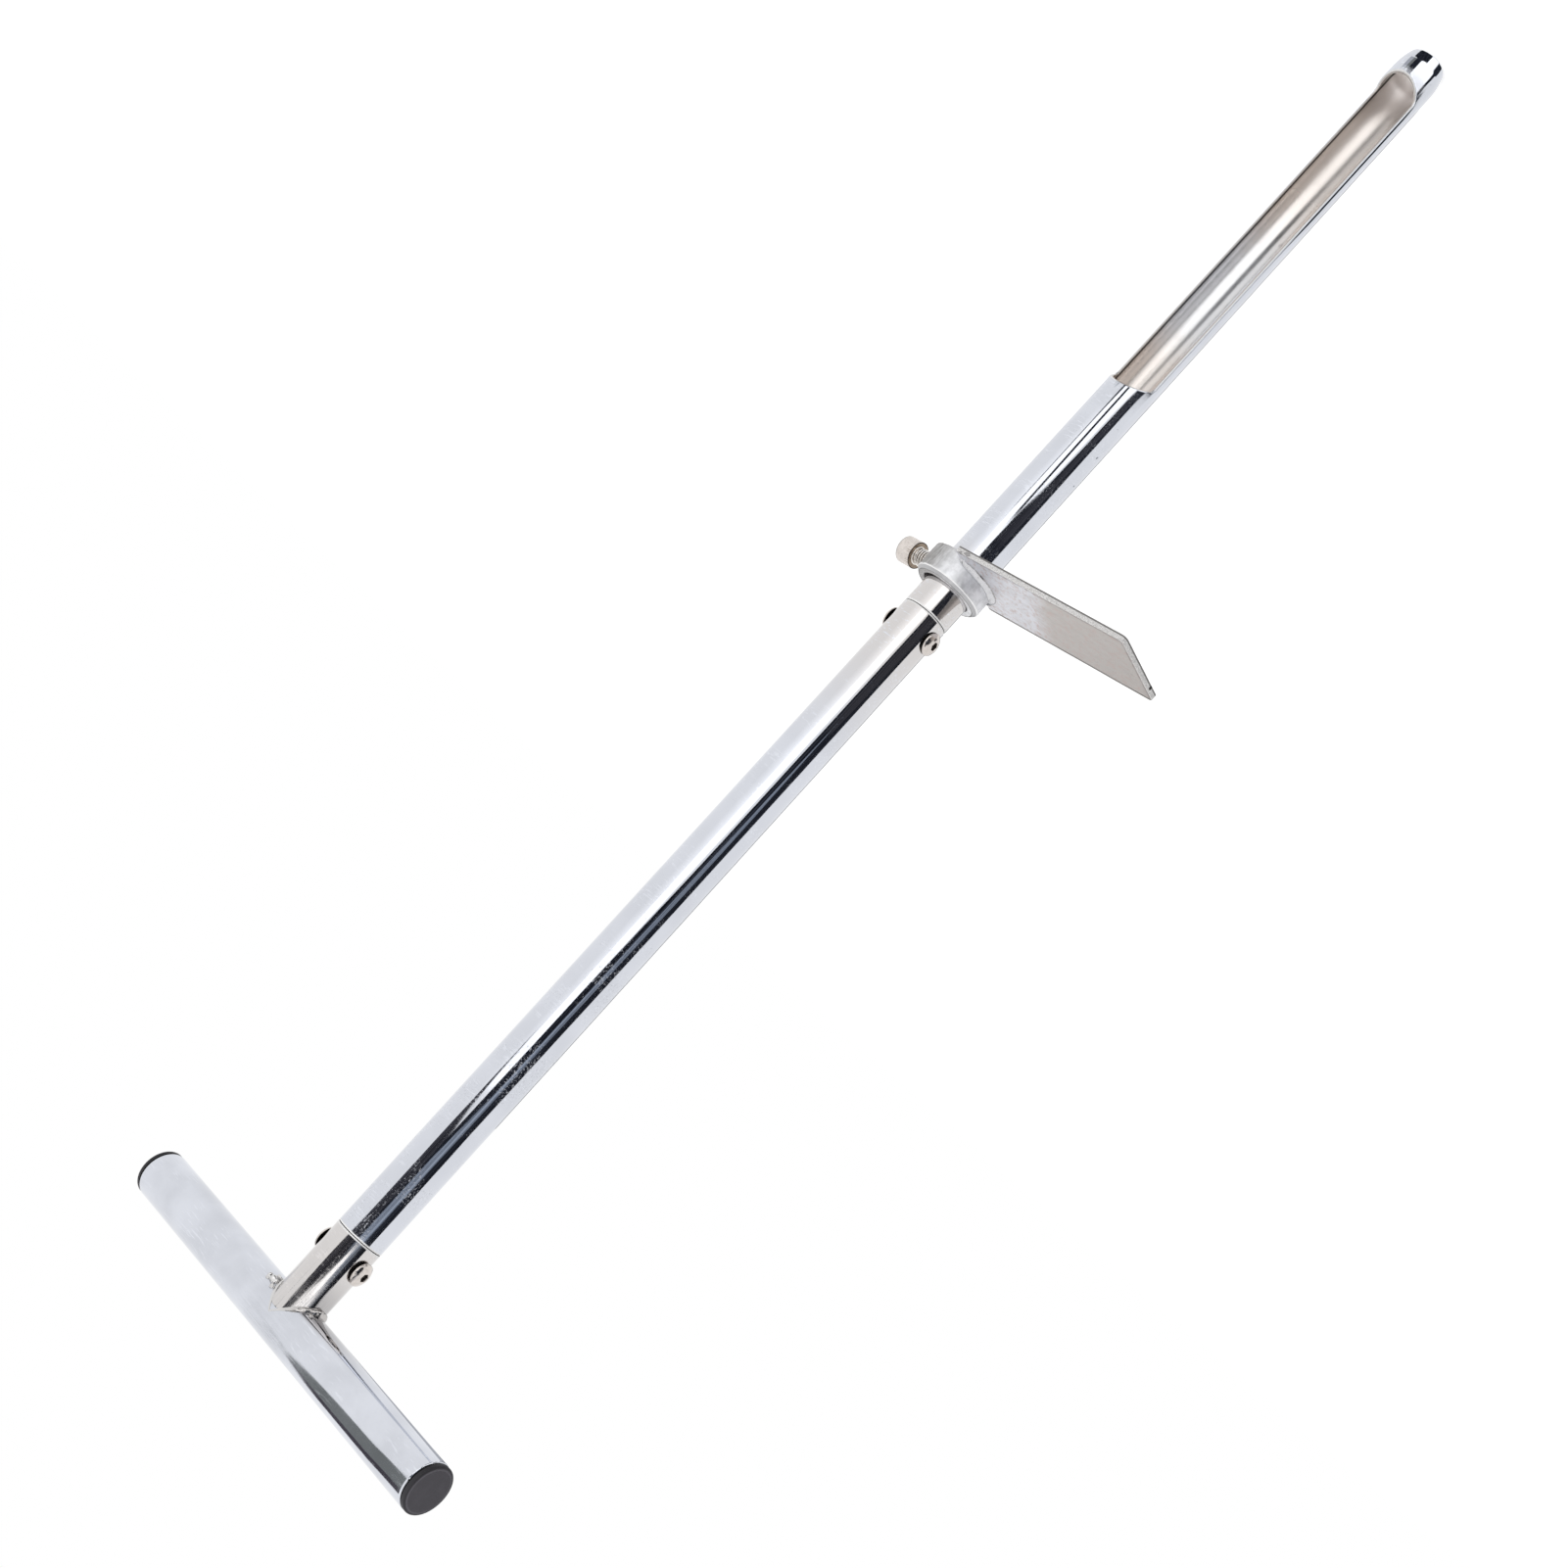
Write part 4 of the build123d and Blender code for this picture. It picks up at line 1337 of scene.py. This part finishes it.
camera_data = bpy.data.cameras.new("camera")
camera_data.sensor_width = SENSOR
camera_data.lens = LENS
camera = add_object("camera", camera_data)
turn = Matrix((CAMERA_RIGHT, CAMERA_UP, CAMERA_BACK)).transposed()
camera.matrix_world = Matrix.Translation(CAMERA_AT) @ turn.to_4x4()
bpy.context.scene.camera = camera


# Stage: white floor and world, a soft lamp, and cards that show only in reflections

CARD_R = hypot(CAMERA_AT.x, CAMERA_AT.y)
CAMERA_AZIMUTH = atan2(CAMERA_AT.y, CAMERA_AT.x)


def mirrored(height, offset):
    """Point on a cylinder about the tube that the tube mirrors to the camera.

    height is the place on the tube in millimetres; offset is how far its normal is turned
    from the camera, in degrees, plus to the rear.
    """
    a = CAMERA_AZIMUTH + 2 * radians(offset)
    return Vector((CARD_R * cos(a), CARD_R * sin(a), 2 * height * MM - CAMERA_AT.z))


def bounced(place, normal, reach):
    """Point at that distance which a mirror at a place, in millimetres, shows to the camera."""
    at = Vector(place) * MM
    sight = (CAMERA_AT - at).normalized()
    return at + (2 * sight.dot(normal) * normal - sight) * reach


def mirrored_by_bar(x, offset):
    """As mirrored, for a place along the handle bar; plus offsets are upwards."""
    a = atan2(CAMERA_AT.z - BAR_HEIGHT * MM, CAMERA_AT.y) + radians(offset)
    return bounced((x, 0, BAR_HEIGHT), Vector((0, cos(a), sin(a))), 1.3)


def mirrored_by_tip(height, offset):
    """As mirrored, for the drawn-in end of the sampling tube."""
    a = CAMERA_AZIMUTH + radians(offset)
    lean = asin(max(0.0, MOUTH_TAPER - height) / TAPER_ARC_R)
    normal = Vector((cos(lean) * cos(a), cos(lean) * sin(a), -sin(lean)))
    return bounced((0, 0, height), normal, 1.0)


def glow(name, color, strength=1.0, streak=None):
    """Material of a card: plain light, with streaks of another colour up and down it."""
    s = Surface(name, (0, 0, 0), metallic=0.0, roughness=1.0)
    s.shader.inputs["Specular IOR Level"].default_value = 0.0
    s.shader.inputs["Emission Color"].default_value = (*color, 1)
    s.shader.inputs["Emission Strength"].default_value = strength
    if streak is not None:
        lines = s.grain((45.0, 45.0, 1500.0), detail=4, gain=0.65)
        s.set("Emission Color", s.mix(s.steps(lines, 0.40, 0.68), color, streak))
    return s.material


def card(name, rows, material, place=mirrored, nearer=1.0):
    """Curved card from (place on the part, left offset, right offset) rows, seen only in reflections."""
    columns = 12
    bm = bmesh.new()
    grid = []
    for height, left, right in rows:
        line = []
        for k in range(columns + 1):
            point = place(height, left + (right - left) * k / columns)
            line.append(bm.verts.new((point.x * nearer, point.y * nearer, point.z)))
        grid.append(line)
    for low, high in zip(grid, grid[1:]):
        strip(bm, low, high)
    made = add_mesh(name, bm, [material])
    made.visible_camera = False
    made.visible_diffuse = False
    made.visible_shadow = False
    made.visible_transmission = False


DARK = glow("dark_card", (0.008, 0.009, 0.013), streak=(0.045, 0.050, 0.066))
CHARCOAL = glow("charcoal_card", (0.022, 0.022, 0.027), streak=(0.085, 0.085, 0.100))
STREAKED = glow("streaked_card", (0.13, 0.15, 0.19), streak=(0.46, 0.52, 0.61))
OLIVE = glow("olive_card", (0.205, 0.215, 0.210))
PALE = glow("pale_card", (0.48, 0.49, 0.52))
UMBER = glow("umber_card", (0.075, 0.068, 0.080))
BRIGHT = glow("bright_card", (1.0, 1.0, 1.0), 1.6)

card("dark_column", [
    (900, 5, -28.5), (790, 5, -28.5), (720, 5, -27), (690, 4, -27.5), (640, 2.5, -29), (600, 0, -30),
    (560, -3, -30.5), (480, -4, -31), (400, -4, -31), (350, 2, -30.5), (320, 0, -29.5),
    (308, -6, -29), (280, -8.5, -28), (244, -10, -27), (236, -29, -46), (150, -30, -47), (110, -30, -54),
    (34, -30, -54), (28, -29, -46), (22, -28, -36), (17.5, -27, -33),
], DARK)
card("dark_lobe", [
    (850, 22, 10), (832, 22, 9), (822, 23, 7), (812, 24, 5), (795, 24, 5), (780, 21, 5), (724, 21, 5),
    (712, 20.5, 12), (690, 20, 17), (665, 19, 18.7),
], CHARCOAL)
card("streaked_core", [
    (794, 1, -14), (740, 1, -14), (715, -4, -15), (690, -8, -15), (640, -9, -17), (570, -11, -20),
    (520, -13, -19), (470, -15.5, -16.5),
], STREAKED, nearer=0.99)
card("joint_core", [(470, -9, -22), (440, -8, -25), (392, -7, -26)], CHARCOAL, nearer=0.99)
card("lower_core", [(345, -2, -23), (310, -10, -23), (248, -12, -22)], CHARCOAL, nearer=0.99)
card("stem_streak", [
    (850, 11, -24), (832, 9, -21), (822, 6, -16), (812, 0, -10), (800, -3, -9), (789, -4, -8),
], BRIGHT, nearer=0.99)
card("stem_haze", [
    (850, -24, -28), (832, -21, -25), (822, -16, -22), (812, -10, -18), (789, -8, -17),
], STREAKED, nearer=0.985)
card("dark_line_rear", [
    (325, 18.8, 17.8), (260, 19.2, 17.2), (240, 19, 15), (200, 22, 11), (140, 24, 11), (80, 23, 12),
    (46, 22, 13), (38, 24, 18),
], DARK)
card("dark_line_middle", [(330, 6, 0), (310, 7, 2.5), (290, 8, 3.5), (260, 9, 4.5), (225, 9, 5)], DARK)
card("bright_strip", [
    (700, 16, 4), (600, 16.5, 2), (400, 16.5, 0), (250, 16, -6), (200, 11, -24), (80, 12, -28),
    (16, 14, -24),
], BRIGHT, nearer=1.02)
for step, level in enumerate((1.03, 1.07, 1.11, 1.16, 1.22, 1.30)):
    left = 34 - 2.7 * step
    soft = glow(f"soft_card_{step}", (1.0, 1.0, 1.0), level)
    rows = [(700, left - 8, 16), (600, left - 3, 16), (400, left, 16), (250, left - 3, 15)]
    card(f"soft_strip_{step}", rows, soft, nearer=1.04 - 0.002 * step)
card("tip_left", [(17.5, 28, 15), (7.2, 28, 15), (6.6, 38, 2), (-8, 38, 2)], DARK, mirrored_by_tip)
card("tip_line", [(17.5, 35, 28), (7.2, 35, 28)], OLIVE, mirrored_by_tip)
card("tip_shade", [(17.5, 44, 35), (7.2, 45, 35)], PALE, mirrored_by_tip)
card("tip_bright", [(17.5, 15, -26), (7.2, 15, -25), (6.6, 2, -20), (-8, 2, -20)], BRIGHT, mirrored_by_tip)
card("tip_right", [(17.5, -27, -33), (8, -27, -34), (7, -22, -38), (-8, -21, -39)], DARK, mirrored_by_tip)
card("rear_pale", [(711, 91.8, 102.8), (26, 91.8, 102.8)], PALE)
card("rear_dark", [(711, 95, 99.5), (26, 95, 99.5)], CHARCOAL, nearer=0.99)
# (place along the bar, lower edge, border, upper edge) of the dark wedge that the bar mirrors
WEDGE = [
    (140, 8, 35, 49), (118, 15, 40, 51), (94, 22, 46, 57), (70, 24, 48, 58), (46, 29, 49, 58),
    (34, 34, 47, 52), (25, 42, 43, 44),
]
card("wedge", [(x, lower, border) for x, lower, border, upper in WEDGE], OLIVE, mirrored_by_bar)
card("wedge_edge", [(x, border, upper) for x, lower, border, upper in WEDGE], UMBER, mirrored_by_bar)


SOFT_LIGHT = 0.6           # strength of the white world as a light; it is 1 where it is seen
FLOOR_R = 6.0
FLOOR_DROP = 0.0003        # just under the cutting mouth


def white_world():
    """White surroundings, dimmer as a light than as what is seen, mirrored or looked at through."""
    world = bpy.data.worlds.new("white_studio")
    world.use_nodes = True
    bpy.context.scene.world = world
    tree = world.node_tree
    rays = add_node(tree, "ShaderNodeLightPath").outputs
    seen = rays["Is Camera Ray"]
    for kind in ("Is Glossy Ray", "Is Transmission Ray"):
        seen = add_node(tree, "ShaderNodeMath", seen, rays[kind], operation="MAXIMUM").outputs["Value"]
    level = add_node(tree, "ShaderNodeMapRange", seen, 0.0, 1.0, SOFT_LIGHT, 1.0)
    background = tree.nodes["Background"]
    background.inputs["Color"].default_value = (1, 1, 1, 1)
    tree.links.new(level.outputs["Result"], background.inputs["Strength"])


def paper():
    """Matt white of the floor, lifted to white where the camera sees it."""
    material = bpy.data.materials.new("white_floor")
    material.use_nodes = True
    tree = material.node_tree
    tree.nodes.clear()
    rays = add_node(tree, "ShaderNodeLightPath").outputs
    matt = add_node(tree, "ShaderNodeBsdfDiffuse", (0.8, 0.8, 0.8, 1))
    lift = add_node(tree, "ShaderNodeEmission", (0.55, 0.55, 0.55, 1), rays["Is Camera Ray"])
    both = add_node(tree, "ShaderNodeAddShader", matt.outputs[0], lift.outputs[0])
    add_node(tree, "ShaderNodeOutputMaterial", both.outputs[0])
    return material


def white_floor():
    """Round floor that catches the shadow and isn't mirrored."""
    bm = bmesh.new()
    bmesh.ops.create_circle(bm, cap_ends=True, segments=96, radius=FLOOR_R)
    floor = add_mesh("floor", bm, [paper()])
    floor.location = (0, 0, -FLOOR_DROP)
    floor.visible_glossy = False


def key_lamp():
    """Square soft lamp, to one side of the camera, that looks at the middle of the probe."""
    azimuth, elevation, distance = CAMERA_AZIMUTH + radians(25), radians(62), 2.2
    data = bpy.data.lights.new("key", "AREA")
    data.shape = "SQUARE"
    data.size = 1.4
    data.energy = 22.0
    lamp = add_object("key", data)
    flat = cos(elevation)
    way = Vector((flat * cos(azimuth), flat * sin(azimuth), sin(elevation)))
    lamp.location = Vector((0, 0, 0.5)) + way * distance
    lamp.rotation_euler = way.to_track_quat("Z", "Y").to_euler()
    lamp.visible_glossy = False


white_world()
white_floor()
key_lamp()
bpy.context.scene.view_settings.view_transform = "Standard"
